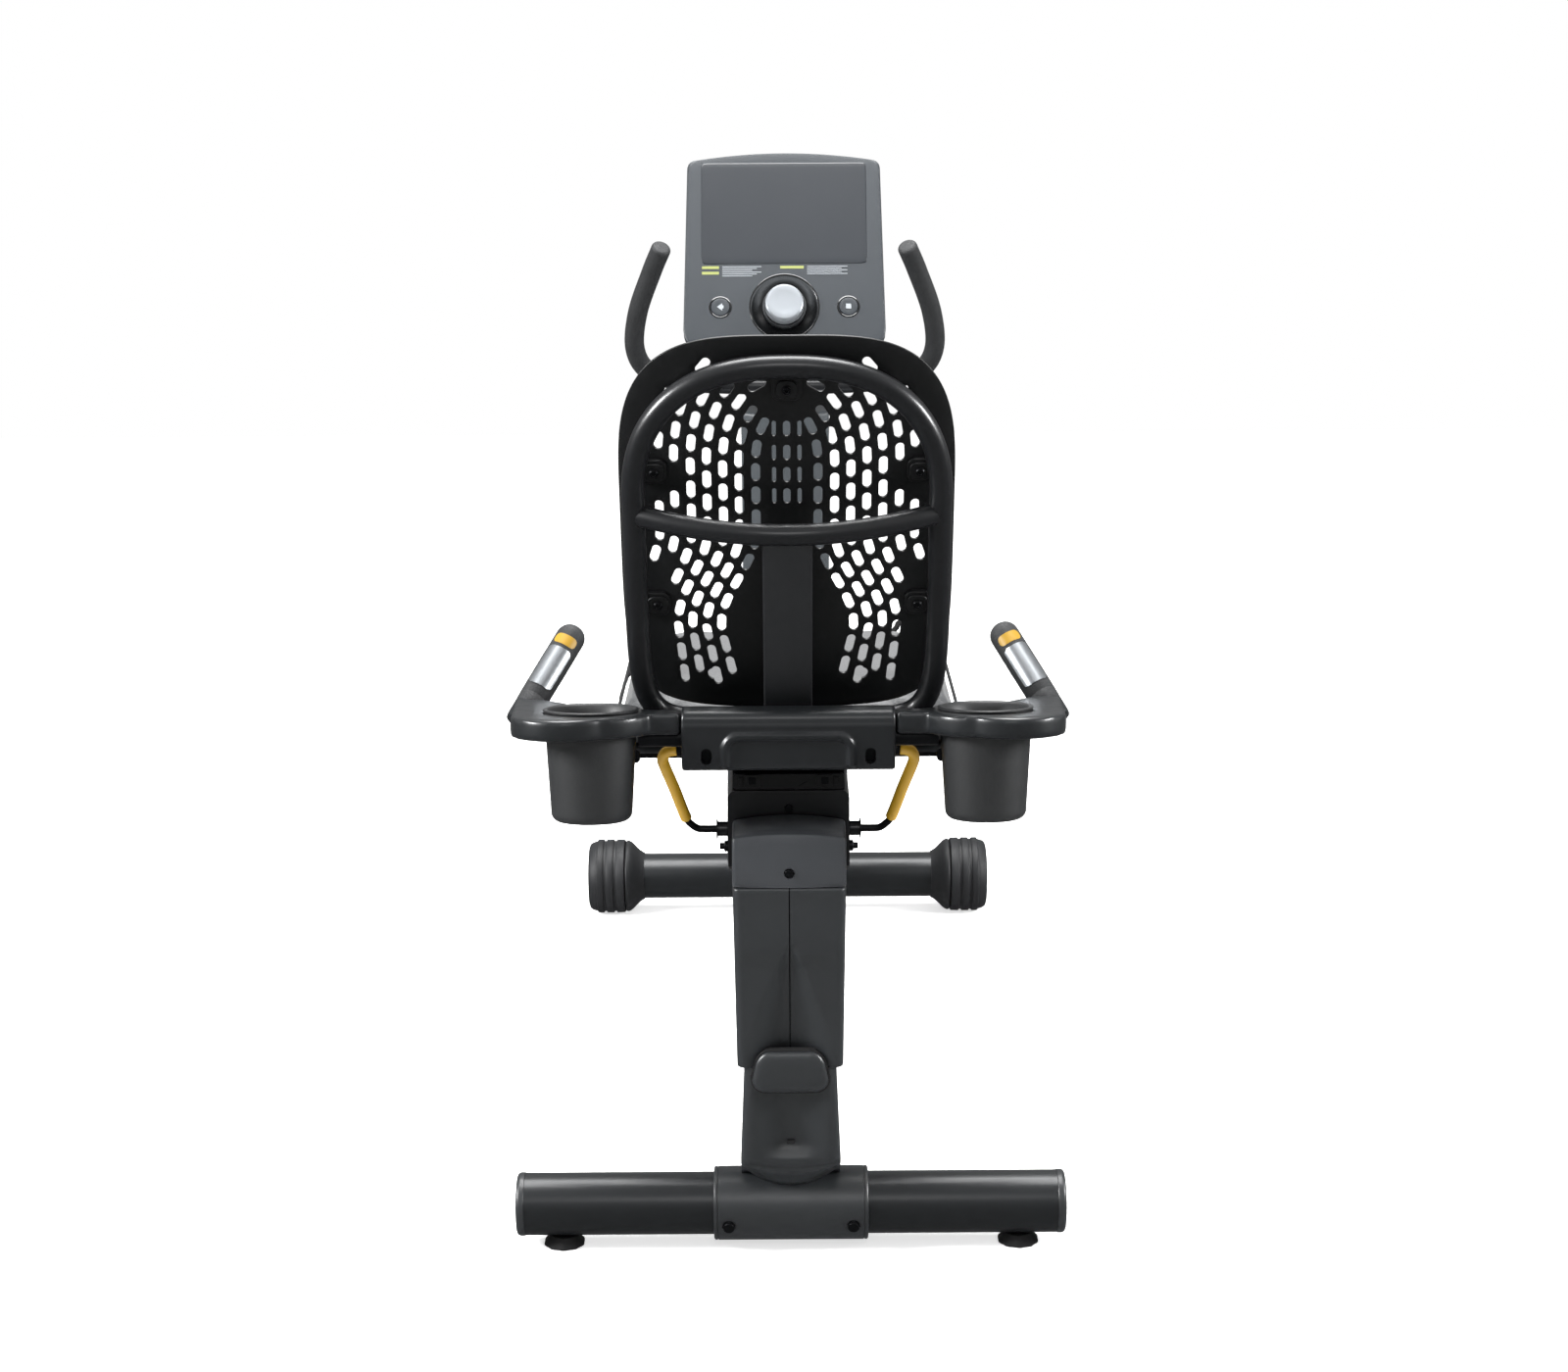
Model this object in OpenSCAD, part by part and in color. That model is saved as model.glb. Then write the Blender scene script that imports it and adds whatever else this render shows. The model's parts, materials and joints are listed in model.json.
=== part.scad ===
// Recumbent exercise bike: welded base and inclined rail, sliding seat with a
// perforated back, side arms with cup holders, covered crank drive, mast and console.
// Millimetres. +X to the rider's right, +Y forward to the console, +Z up.

/* [Base] */
// Distance between the rear and front stabiliser axes
wheelbase = 1400; // [1350:10:1450]
// Radius of both stabiliser tubes
stab_r = 38.1; // [36:0.1:40]
// Wall of the stabiliser tubes
stab_wall = 3.2; // [2:0.1:4]
// Height of the rear stabiliser axis
rear_axis_z = 52; // [52:1:56]
// Half width of the rear stabiliser over its end caps
rear_half_w = 337; // [320:1:345]
// Radius of the transport wheels
wheel_r = 62.5; // [60:0.5:65]
// Radius of the front stabiliser tube
front_r = 33.5; // [32:0.5:38]
// Half width of the front stabiliser over its wheels
front_half_w = 338.5; // [330:0.5:345]

/* [Rail] */
// Fall of the seat rail towards the front, in degrees
rail_tilt = 15; // [13:0.5:16]
// Height of the rail's centre line above the rear stabiliser
rail_z = 492; // [488:1:494]
// Half width of the rail
rail_half_w = 45; // [42:1:46]
// Half height of the rail
rail_half_h = 24; // [22:1:24]
// Length of the rail in front of the rear stabiliser axis
rail_len = 900; // [880:10:920]

/* [Seat] */
// Lean of the back frame, in degrees
back_lean = 18.5; // [17:0.5:19]
// Half width of the back frame's centre line
back_half_w = 175.5; // [170:0.5:178]
// Radius of the back frame's tube
back_tube_r = 13.5; // [12:0.5:14]
// Half width of the seat cushion
cushion_half_w = 207; // [195:1:215]
// Length of the seat cushion
cushion_len = 440; // [420:5:450]
// Thickness of the seat cushion
cushion_h = 58; // [50:1:62]
// Distance of each cup holder from the middle
cup_x = 232; // [228:1:236]
// Radius inside a cup holder
cup_in_r = 37.5; // [36:0.5:38]
// Depth inside a cup holder
cup_depth = 120; // [110:1:122]

/* [Drive] */
// Crank axis, forward of the rear stabiliser
crank_y = 1080; // [1070:1:1090]
// Crank axis height
crank_z = 430; // [425:1:435]
// Crank length
crank_len = 170; // [165:1:175]
// Radius of the drive pulley
pulley_r = 120; // [110:1:120]
// Radius of the flywheel's pulley
pinion_r = 25; // [22:1:28]
// Half width of the drive housing
housing_half_w = 90; // [89:1:92]

/* [Console] */
// Width of the console
console_w = 309; // [300:1:315]
// Height of the console along its face
console_h = 317; // [310:1:320]
// Lean of the console, in degrees
console_lean = 25; // [22:1:28]
// Radius of the control dial
dial_r = 30; // [26:1:32]

/* [Hidden] */
$fn = 64;
gap = 0.3;
fit = 0.05;
wall = 4;

// Everything is drawn with the rear stabiliser at y = 0, then moved back by y_mid,
// so that the origin lies under the middle of the whole bike.
y_mid = 662.2;

foot_x = 280;
foot_stud_r = 5;
sleeve_half_w = 94.5;
sleeve_r = 45;
post_x = 30;
post_y = 45;
bolt_x = 76;
bolt_dip = 17;

boot_x = 60.5;
boot_back = 66;
boot_front = 62;
boot_low = 76;
shell_low = 250;
shell_high = 474;
shell_x = 67;
shell_back = 66;
shell_front = 78;
tongue_x = 43;
tongue_top = 272;
cap_high = 541;
cap_screw_z = 492;

groove_h = 11;
groove_x = 24;
bracket_x = 73;
bracket_plate = 6;
bracket_back = 14;
bracket_top = 572;
pan_top = 609;
lever_y = 70;
lever_z = 510;
lever_r = 4.5;
lever_grip_r = 7;
pin_u = 118;

loop_mid = 290;
loop_top = 169;
loop_power = 2.4;
shell_half_w = 193;
shell_up = 200;
shell_power = 3.1;
crossbar_v = 275;
crossbar_bow = 46;
back_base = [0, 15, 660];
shell_bend_r = 752;
shell_centre_n = 14.5;
shell_thick = 4;
lug_spots = [[0, 428], [-152, 318], [152, 318], [-152, 145], [152, 145]];

box_x = 125;
box_back = -62;
box_front = -18.5;
box_low = 615;
box_high = 686.5;
cross_z = 651;
ring_tilt = 6.5;
ring_centre = [cup_x, -30, 668];
ring_half_h = 13;
grip_base = [317, 122, 655];
grip_dir = [-0.446, 0.593, 0.670];
grip_len = 122;
grip_r = 18.5;

beam_len = 560;
fly_y = 1260;
fly_z = 300;
fly_r = 80;
shaft_r = 8;
axle_r = 10;
arm_in = 141;
arm_out = 157;
pedal_in = 161;
pedal_out = 255;
spindle_r = 7;
housing_split = 500;
mast_foot = [0, 1187, 500];
mast_lean = 7.9;
mast_len = 455;
mast_r = 25;
cover_top = 402;
bar_r = 12.5;
grip_wall = 2;
bar_points = [[0, 1086, 935], [75, 1082, 936], [160, 1062, 944], [207, 1035, 965],
              [225, 1000, 1003], [218, 962, 1060], [195, 925, 1122], [180, 900, 1156]];
console_foot = [0, 1060, 997];
dial_v = 65;
button_x = 98;
button_r = 15;
bowl_r = 54;

function unit(v) = v / norm(v);
function spline(a, b, c, d, t) =
    0.5 * (2 * b + (c - a) * t + (2 * a - 5 * b + 4 * c - d) * t * t
           + (3 * b - a - 3 * c + d) * t * t * t);
// A smooth open path through a few points.
function smooth_path(p, steps) = let(n = len(p)) concat(
    [for (i = [0:n - 2], j = [0:steps - 1])
        spline(p[max(i - 1, 0)], p[i], p[i + 1], p[min(i + 2, n - 1)], j / steps)],
    [p[n - 1]]);
function mirror_x(p) = [-p[0], p[1], p[2]];
// A left to right path from its right half, whose first point is on the middle plane.
function both_sides(p) = concat([for (i = [len(p) - 1:-1:1]) mirror_x(p[i])], p);
function along(path, i, closed) = let(n = len(path)) closed
    ? unit(path[(i + 1) % n] - path[(i + n - 1) % n])
    : unit(path[min(i + 1, n - 1)] - path[max(i - 1, 0)]);
function tube_skin(path, r, sides, closed) = [
    for (i = [0:len(path) - 1], k = [0:sides - 1])
        let(t = along(path, i, closed), s = unit(cross([0, 1, 0], t)), u = cross(t, s),
            a = 360 * k / sides)
        path[i] + r * (cos(a) * s + sin(a) * u)];
function tube_faces(rings, sides, closed) = concat(
    [for (i = [0:rings - (closed ? 1 : 2)], k = [0:sides - 1], half = [0, 1])
        let(a = i * sides, b = ((i + 1) % rings) * sides, m = (k + 1) % sides)
        half == 0 ? [a + k, b + k, b + m] : [a + k, b + m, a + m]],
    closed ? [] : [[for (k = [0:sides - 1]) k],
                   [for (k = [sides - 1:-1:0]) (rings - 1) * sides + k]]);

module swept_tube(path, r, sides = 16, closed = false) {
    polyhedron(tube_skin(path, r, sides, closed), tube_faces(len(path), sides, closed));
}
module rod_x(x0, x1, r) {
    translate([x0, 0, 0]) rotate([0, 90, 0]) cylinder(r = r, h = x1 - x0);
}
module cone_x(x0, x1, r0, r1) {
    translate([x0, 0, 0]) rotate([0, 90, 0]) cylinder(r1 = r0, r2 = r1, h = x1 - x0);
}
module block(x0, x1, y0, y1, z0, z1) {
    translate([x0, y0, z0]) cube([x1 - x0, y1 - y0, z1 - z0]);
}
// A profile drawn in y and z, as thick as x0 to x1.
module slab_x(x0, x1) {
    translate([x0, 0, 0]) rotate([90, 0, 90]) linear_extrude(x1 - x0) children();
}
module sides() {
    children();
    mirror([1, 0, 0]) children();
}
module rear_axis() { translate([0, 0, rear_axis_z]) children(); }
module front_axis() { translate([0, wheelbase, wheel_r]) children(); }
module crank_axis() { translate([0, crank_y, crank_z]) children(); }
module fly_axis() { translate([0, fly_y, fly_z]) children(); }
// The rail's own frame: y along the rail, z square to it.
module on_rail() { translate([0, 0, rail_z]) rotate([-rail_tilt, 0, 0]) children(); }
// The back's own frame: z up the back, y forward out of it.
module on_back() { translate(back_base) rotate([back_lean, 0, 0]) children(); }
// The console's own frame: z up the face, y into the console.
module on_console() { translate(console_foot) rotate([-console_lean, 0, 0]) children(); }
module on_ring() { translate(ring_centre) rotate([-ring_tilt, 0, 0]) children(); }
// The grip's own frame: z along the grip from its base.
module on_grip() {
    tilt = acos(grip_dir[2] / norm(grip_dir));
    turn = atan2(grip_dir[1], grip_dir[0]);
    translate(grip_base) rotate([0, tilt, turn]) children();
}
module on_mast() { translate(mast_foot) rotate([mast_lean, 0, 0]) children(); }

// ---- base ----
module rear_stabiliser() {
    color("#303234") difference() {
        rear_axis() rod_x(-rear_half_w + 10, rear_half_w - 10, stab_r);
        rear_axis() rod_x(-rear_half_w, rear_half_w, stab_r - stab_wall);
        for (x = [-foot_x, foot_x]) translate([x, 0, 5]) cylinder(r = foot_stud_r + fit, h = 30);
    }
}
module rear_end_caps() {
    color("#242628") rear_axis() sides() {
        rod_x(rear_half_w - 30, rear_half_w - 10, stab_r - stab_wall - 0.1);
        rod_x(rear_half_w - 10, rear_half_w - 4, stab_r);
        cone_x(rear_half_w - 4, rear_half_w, stab_r, stab_r - 4);
    }
}
module bolt_lines() {
    rear_axis() for (x = [-bolt_x, bolt_x])
        translate([x, 0, 0]) rotate([90 + bolt_dip, 0, 0]) children();
}
module rear_sleeve() {
    color("#2d2f31") difference() {
        rear_axis() rod_x(-sleeve_half_w, sleeve_half_w, sleeve_r);
        rear_axis() rod_x(-sleeve_half_w - 1, sleeve_half_w + 1, stab_r + fit);
        bolt_lines() cylinder(r = 4 + fit, h = 60);
    }
}
module rear_post() {
    color("#2d2f31") difference() {
        block(-post_x, post_x, -post_y, post_y, 60, 560);
        rear_axis() rod_x(-80, 80, sleeve_r + fit);
        on_rail() block(-80, 80, -200, 200, -rail_half_h - 0.02, 200);
        block(-post_x + wall, post_x - wall, -post_y + wall, post_y - wall, 110, 440);
    }
}
module boot() {
    color("#2b2d2f") difference() {
        union() {
            block(-boot_x, boot_x, -boot_back, boot_front, boot_low, shell_low - 2);
            block(-tongue_x, tongue_x, -boot_back, -boot_back + wall, shell_low - 3, tongue_top);
        }
        block(-boot_x + wall, boot_x - wall, -boot_back + wall, boot_front - wall,
              boot_low - 1, shell_low - 2 - wall);
        block(-post_x - gap, post_x + gap, -post_y - gap, post_y + gap, 60, 300);
        rear_axis() rod_x(-100, 100, sleeve_r + 1);
        slab_x(-100, 100) polygon([[-boot_back - 1, 60], [-30, 60], [-30, 96], [-boot_back - 1, 132]]);
    }
}
module rear_shell_half() {
    difference() {
        translate([0, shell_front, 0]) rotate([90, 0, 0])
            linear_extrude(shell_front + shell_back)
            polygon([[0.2, shell_low], [shell_x - 3, shell_low], [shell_x, shell_high], [0.2, shell_high]]);
        translate([0, shell_front - wall, 0]) rotate([90, 0, 0])
            linear_extrude(shell_front + shell_back - 2 * wall)
            polygon([[-1, shell_low - 1], [shell_x - 3 - wall, shell_low - 1],
                     [shell_x - wall, shell_high + 1], [-1, shell_high + 1]]);
        block(-1, tongue_x + gap, -shell_back - 1, -shell_back + wall + 1, shell_low - 1, tongue_top + gap);
        on_rail() block(-rail_half_w - 2, rail_half_w + 2, -40, 200, -rail_half_h - 2, 100);
        on_rail() block(-80, 80, 50, 300, -groove_h - 1, 100);
        block(-80, 80, 12, 100, shell_high - 17, shell_high + 10);
    }
}
module rear_shell_right() { color("#2f3133") rear_shell_half(); }
module rear_shell_left() { color("#2f3133") mirror([1, 0, 0]) rear_shell_half(); }
module cap_side(inset) {
    polygon([[-shell_back + inset, shell_high + gap - (inset > 0 ? 1 : 0)],
             [-shell_back + inset, 522 - inset / 2], [-shell_back + 14, cap_high - 3 - inset],
             [9, cap_high - inset], [9, shell_high + gap - (inset > 0 ? 1 : 0)]]);
}
module rear_cap() {
    color("#303335") difference() {
        slab_x(-shell_x, shell_x) cap_side(0);
        slab_x(-shell_x + wall, shell_x - wall) cap_side(wall);
        translate([0, -shell_back + 10, cap_screw_z]) rotate([90, 0, 0]) cylinder(r = 3 + fit, h = 20);
    }
}
module frame_screws() {
    color("#17181a") {
        bolt_lines() {
            translate([0, 0, stab_r + 0.15]) cylinder(r = 4, h = sleeve_r - stab_r);
            translate([0, 0, sleeve_r + 0.4]) cylinder(r = 7, h = 4);
        }
        translate([0, -shell_back - 0.1, cap_screw_z]) rotate([90, 0, 0]) cylinder(r = 5, h = 2);
        translate([0, -shell_back + 8, cap_screw_z]) rotate([90, 0, 0]) cylinder(r = 3, h = 8.2);
    }
}
module foot(x) {
    color("#1c1d1f") translate([x, 0, 0]) {
        cylinder(r1 = 25, r2 = 17, h = 13);
        cylinder(r = foot_stud_r, h = 45);
    }
}
module level_foot_left() { foot(-foot_x); }
module level_foot_right() { foot(foot_x); }

// ---- rail and front frame ----
module rail_section(length) {
    difference() {
        block(-rail_half_w, rail_half_w, 0, length, -rail_half_h, rail_half_h);
        sides() block(groove_x, rail_half_w + 1, -1, length + 1, -groove_h, groove_h);
    }
}
module seat_rail() {
    color("#8b8e91") on_rail() difference() {
        translate([0, -30, 0]) rail_section(rail_len + 30);
        for (i = [0:11]) translate([0, pin_u + 25 * i, rail_half_h - 14]) cylinder(r = 6.5, h = 20);
    }
}
// Plate that ties the crank shell, the flywheel boss and the upright to the beam.
module web_outline() {
    polygon([[crank_y - 40, 215], [crank_y - 12, crank_z - 30], [crank_y + 15, crank_z + 30], [1170, 480],
             [1210, 380], [fly_y + 12, fly_z + 8], [fly_y + 60, 165]]);
}
module front_frame() {
    color("#2d2f31") difference() {
        union() {
            on_rail() block(-30, 30, rail_len + 0.1, rail_len + beam_len, -rail_half_h, rail_half_h);
            block(-36, 36, wheelbase - 42, wheelbase + 42, 70, 106);
            crank_axis() rod_x(-55, 55, 34);
            fly_axis() rod_x(-50, 50, 20);
            block(-25, 25, 1160, 1215, 186, housing_split);
            slab_x(-5, 5) web_outline();
        }
        crank_axis() rod_x(-60, 60, 26 + fit);
        fly_axis() rod_x(-60, 60, shaft_r + fit);
        front_axis() rod_x(-80, 80, front_r + fit);
    }
}
module front_stabiliser() {
    color("#303234") front_axis() {
        difference() {
            rod_x(-275, 275, front_r);
            rod_x(-265, 265, front_r - stab_wall);
        }
        sides() rod_x(275, front_half_w - 6, shaft_r);
    }
}
module wheel_covers() {
    color("#232527") front_axis() sides() difference() {
        union() {
            cone_x(246, 262, front_r + 3, 52);
            cone_x(262, 275, 52, wheel_r - 2);
        }
        rod_x(240, 280, front_r + fit);
        cone_x(264, 276, 46, wheel_r - 6);
    }
}
module wheel_profile() {
    polygon([[shaft_r + fit, 276.5], [wheel_r - 3, 276.5], [wheel_r, 279.5], [wheel_r, 291],
             [wheel_r - 3, 292], [wheel_r - 3, 295], [wheel_r, 296], [wheel_r, 308],
             [wheel_r - 3, 309], [wheel_r - 3, 312], [wheel_r, 313], [wheel_r, 323],
             [wheel_r - 3, 325], [wheel_r - 4, front_half_w - 6], [wheel_r - 10, front_half_w],
             [12, front_half_w], [12, front_half_w - 5], [shaft_r + fit, front_half_w - 5]]);
}
module wheel_right() { color("#26282a") front_axis() rotate([0, 90, 0]) rotate_extrude() wheel_profile(); }
module wheel_left() {
    color("#26282a") front_axis() rotate([0, -90, 0]) rotate_extrude() wheel_profile();
}

// ---- drive ----
module crank_bearings() {
    color("#9aa0a6") crank_axis() sides() difference() {
        rod_x(35, 50, 26);
        rod_x(30, 60, axle_r + fit);
    }
}
module crank_axle() { color("#55585b") crank_axis() rod_x(-arm_out, arm_out, axle_r); }
module crank_arm(s) {
    difference() {
        union() {
            rod_x(arm_in, arm_out, 24);
            block(arm_in, arm_out, min(0, s * crank_len), max(0, s * crank_len), -14, 14);
            translate([0, s * crank_len, 0]) rod_x(arm_in, arm_out, 17);
            translate([0, s * crank_len, 0]) rod_x(arm_in, pedal_out + 4, spindle_r);
        }
        rod_x(arm_in - 1, arm_out + 1, axle_r + 0.03);
    }
}
module crank_right() { color("#3a3c3e") crank_axis() crank_arm(1); }
module crank_left() { color("#3a3c3e") crank_axis() mirror([1, 0, 0]) crank_arm(-1); }
module pedal(s) {
    translate([0, s * crank_len, 0]) difference() {
        block(pedal_in, pedal_out, -50, 50, -14, 14);
        rod_x(pedal_in - 1, pedal_out + 1, spindle_r + fit);
        for (y = [-34, 34]) block(pedal_in + 12, pedal_out - 12, y - 9, y + 9, -20, 20);
    }
}
module pedal_right() { color("#1e2022") crank_axis() pedal(1); }
module pedal_left() { color("#1e2022") crank_axis() mirror([1, 0, 0]) pedal(-1); }
function arch(rx, rz) = [for (i = [0:24])
    [(pedal_in + pedal_out) / 2 + rx * cos(7.5 * i), 14.2 + rz * sin(7.5 * i)]];
module strap(s) {
    half = (pedal_out - pedal_in) / 2;
    translate([0, s * crank_len + 20, 0]) rotate([90, 0, 0]) linear_extrude(40)
        polygon(concat(arch(half, 101), [for (i = [24:-1:0]) arch(half - 4, 97)[i]]));
}
module strap_right() { color("#5b5d60") crank_axis() strap(1); }
module strap_left() { color("#5b5d60") crank_axis() mirror([1, 0, 0]) strap(-1); }
module drive_pulley() {
    color("#3c3f42") crank_axis() difference() {
        rod_x(62, 80, pulley_r);
        rod_x(60, 90, axle_r + 0.03);
        for (a = [0:72:359]) rotate([a, 0, 0]) translate([0, 68, 0]) rod_x(60, 90, 26);
    }
}
module belt_outline(more) {
    hull() {
        translate([crank_y, crank_z]) circle(r = pulley_r + more);
        translate([fly_y, fly_z]) circle(r = pinion_r + more);
    }
}
module drive_belt() {
    color("#141516") slab_x(64, 78) difference() {
        belt_outline(3.3);
        belt_outline(0.4);
    }
}
module flywheel() {
    color("#6d7073") fly_axis() {
        rod_x(-85, 85, shaft_r);
        rod_x(-84, -54, fly_r);
        rod_x(62, 80, pinion_r);
    }
}
module housing_outline(inset) {
    offset(delta = -inset) hull() {
        translate([crank_y, 385]) circle(r = 200);
        translate([1245, 290]) circle(r = 112);
        translate([835, 292]) circle(r = 58);
    }
}
module housing_part(x0, hollow_x0) {
    difference() {
        slab_x(x0, housing_half_w) housing_outline(0);
        slab_x(hollow_x0, housing_half_w - wall) housing_outline(wall);
        on_rail() block(-rail_half_w - 2, rail_half_w + 2, 700, 1460, -rail_half_h - 2, rail_half_h + 2);
        crank_axis() rod_x(80, 160, 26);
        slab_x(-6.5, 6.5) offset(delta = 1.5) web_outline();
    }
}
// Round boss that covers the gap between the housing and a crank arm.
module crank_boss() {
    crank_axis() difference() {
        cone_x(housing_half_w - wall, arm_in - 6, 68, 50);
        cone_x(housing_half_w - wall - 1, arm_in - 6 - wall, 64, 46);
        rod_x(80, 160, 26);
    }
}
module housing_low() {
    difference() {
        housing_part(0.2, -1);
        block(-200, 200, 500, 1600, housing_split, 800);
    }
    crank_boss();
}
module housing_right() { color("#2b2d2f") housing_low(); }
module housing_left() { color("#2b2d2f") mirror([1, 0, 0]) housing_low(); }
module housing_top() {
    color("#a9abad") difference() {
        intersection() {
            housing_part(-housing_half_w, -housing_half_w + wall);
            block(-200, 200, 500, 1600, housing_split + gap, 800);
        }
        on_mast() translate([0, 0, 10]) cylinder(r = mast_r + 3, h = 200);
    }
}

// ---- mast, bars and console ----
module mast_tube() {
    color("#2d2f31") {
        block(-25, 25, 1160, 1215, housing_split + 0.05, housing_split + 9);
        on_mast() translate([0, 0, 7]) cylinder(r = mast_r, h = mast_len - 7);
    }
}
module cover_outline(inset) {
    offset(delta = -inset)
        polygon([[-68, -32], [-40, -46], [0, -52], [40, -46], [68, -32], [68, 26], [44, 42],
                                    [-44, 42], [-68, 26]]);
}
module mast_cover() {
    color("#9fa2a4") difference() {
        on_mast() linear_extrude(cover_top) cover_outline(0);
        on_mast() translate([0, 0, -1]) linear_extrude(cover_top + 1 - wall) cover_outline(wall);
        on_mast() cylinder(r = mast_r + gap, h = 500);
        slab_x(-200, 200) housing_outline(-0.5);
    }
}
bar_path = both_sides(smooth_path(bar_points, 4));
module front_handlebar() {
    color("#2d2f31") {
        swept_tube(bar_path, bar_r);
        difference() {
            block(-24, 24, 1092, 1136, 922, 948);
            on_mast() cylinder(r = mast_r + fit, h = 600);
            translate([0, 0, -2]) swept_tube(bar_path, bar_r - 4);
        }
    }
}
module front_grips() {
    grip_path = [for (i = [10:len(smooth_path(bar_points, 4)) - 1]) smooth_path(bar_points, 4)[i]];
    end = len(grip_path) - 1;
    color("#4b4d50") sides() difference() {
        swept_tube(concat(grip_path, [grip_path[end] + 5 * unit(grip_path[end] - grip_path[end - 1])]),
                   bar_r + grip_wall);
        swept_tube(bar_path, bar_r + 0.4);
    }
}
module console_outline(inset) {
    w = console_w / 2 - inset;
    top = console_h - inset;
    polygon(concat([[-w + 24, inset], [w - 24, inset], [w - 4, 14 + inset]],
        [for (i = [0:5]) [w - 14 + 14 * cos(18 * i), top - 26 + 14 * sin(18 * i)]],
        [for (i = [1:9]) let(x = (w - 14) * (1 - i / 5)) [x, top - 12 * pow(x / (w - 14), 2)]],
        [for (i = [0:5]) [-w + 14 - 14 * sin(18 * i), top - 26 + 14 * cos(18 * i)]],
        [[-w + 4, 14 + inset]]));
}
module console_plate(y0, y1, inset) {
    translate([0, y1, 0]) rotate([90, 0, 0]) linear_extrude(y1 - y0) console_outline(inset);
}
module console_face() {
    color("#4a4f56") on_console() difference() {
        console_plate(0, 14, 0);
        console_plate(4, 15, wall);
        block(-131, 131, -1, 3.2, 135, 300);
        translate([0, 0, dial_v]) rotate([-90, 0, 0]) cylinder(r1 = bowl_r, r2 = 36, h = 4.5);
        for (x = [-button_x, button_x])
            translate([x, -1, dial_v]) rotate([-90, 0, 0]) cylinder(r = button_r + gap, h = 10);
    }
}
module console_back() {
    color("#b4b6b8") on_console() difference() {
        union() {
            console_plate(14.1, 34, 6);
            console_plate(33.9, 52, 40);
        }
        console_plate(14, 30, 10);
        console_plate(29, 48, 44);
    }
    color("#b4b6b8") difference() {
        block(-38, 38, 1092, 1146, 957, 1003);
        on_console() block(-200, 200, -40, 52.1, -100, 400);
        on_mast() cylinder(r = mast_r + gap, h = 600);
    }
}
module display_glass() {
    color("#59616b") on_console() block(-130.8, 130.8, 0.2, 3, 135.2, 299.8);
}
module dial_ring() {
    color("#1b1d1f") on_console() translate([0, 0, dial_v]) rotate([90, 0, 0]) difference() {
        translate([0, 0, -12]) cylinder(r = 34, h = 15);
        translate([0, 0, -20]) cylinder(r = 6 + fit, h = 40);
    }
}
module dial_knob() {
    color("#c8cbd0") on_console() translate([0, 0, dial_v]) rotate([90, 0, 0]) {
        translate([0, 0, 3.4]) cylinder(r = dial_r, h = 20);
        translate([0, 0, -11]) cylinder(r = 6, h = 15);
    }
}
module button(x) {
    color("#2a2d31") on_console() translate([x, 11, dial_v]) rotate([90, 0, 0])
        cylinder(r = button_r, h = 13);
}
module button_left() { button(-button_x); }
module button_right() { button(button_x); }

// ---- seat carriage ----
module bracket_side() {
    polygon([[bracket_back, 496], [bracket_back, bracket_top], [96, bracket_top], [215, 552],
             [215, 426], [60, 462]]);
}
module carriage_bracket() {
    color("#2b2d2f") difference() {
        union() {
            sides() slab_x(bracket_x - bracket_plate, bracket_x) bracket_side();
            block(-bracket_x, bracket_x, bracket_back, 96, bracket_top - bracket_plate, bracket_top);
            difference() {
                block(-bracket_x, bracket_x, bracket_back, bracket_back + bracket_plate, 478, bracket_top);
                block(-rail_half_w - 3, rail_half_w + 3, 0, 40, 400, 520);
            }
            translate([0, lever_y, lever_z]) sides() rod_x(bracket_x - 1, bracket_x + 15, 9);
        }
        translate([0, lever_y, lever_z]) rod_x(-100, 100, lever_r + fit);
        sides() translate([bracket_x - 10, 0, bracket_top]) difference() {
            block(0, 20, 0, 300, -10, 20);
            translate([0, -1, -10]) rotate([-90, 0, 0]) cylinder(r = 10, h = 310);
        }
        translate([0, 0, 550]) rotate([-90, 0, 0]) cylinder(r = 3 + fit, h = 40);
    }
}
module glide_pads() {
    color("#d8d9da") on_rail() for (u = [52, 160])
        sides() block(groove_x + 2, bracket_x - bracket_plate, u, u + 40, -groove_h + 0.5, groove_h - 0.5);
}
lever_points = [[104, lever_y, lever_z], [111, lever_y - 0.5, lever_z + 1], [118, lever_y - 2, lever_z + 6],
                [125, lever_y - 5, lever_z + 16], [138, lever_y - 23, lever_z + 57],
                [150, lever_y - 40, lever_z + 94], [149, lever_y - 46, lever_z + 104],
                [143, lever_y - 49, lever_z + 109.5], [133, lever_y - 51, lever_z + 111]];
lever_path = smooth_path(lever_points, 4);
module release_levers() {
    color("#17181a") {
        translate([0, lever_y, lever_z]) rod_x(-104, 104, lever_r);
        sides() swept_tube(lever_path, lever_r, 12);
    }
}
module lever_grips() {
    grip_line = [for (i = [12:len(lever_path) - 1]) lever_path[i]];
    core = concat([grip_line[0] - 2 * unit(grip_line[1] - grip_line[0])], grip_line);
    end = len(grip_line) - 1;
    closed_end = concat(grip_line, [grip_line[end] + 3 * unit(grip_line[end] - grip_line[end - 1])]);
    color("#c9a227") sides() difference() {
        swept_tube(closed_end, lever_grip_r, 12);
        swept_tube(core, lever_r + 0.1, 12);
    }
}
module lock_pin() {
    color("#9aa0a6") on_rail() translate([0, pin_u, 0]) {
        translate([0, 0, rail_half_h + 0.6]) cylinder(r = 6, h = 38);
        translate([0, 0, rail_half_h + 38]) cylinder(r = 9, h = 5);
    }
}
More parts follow.
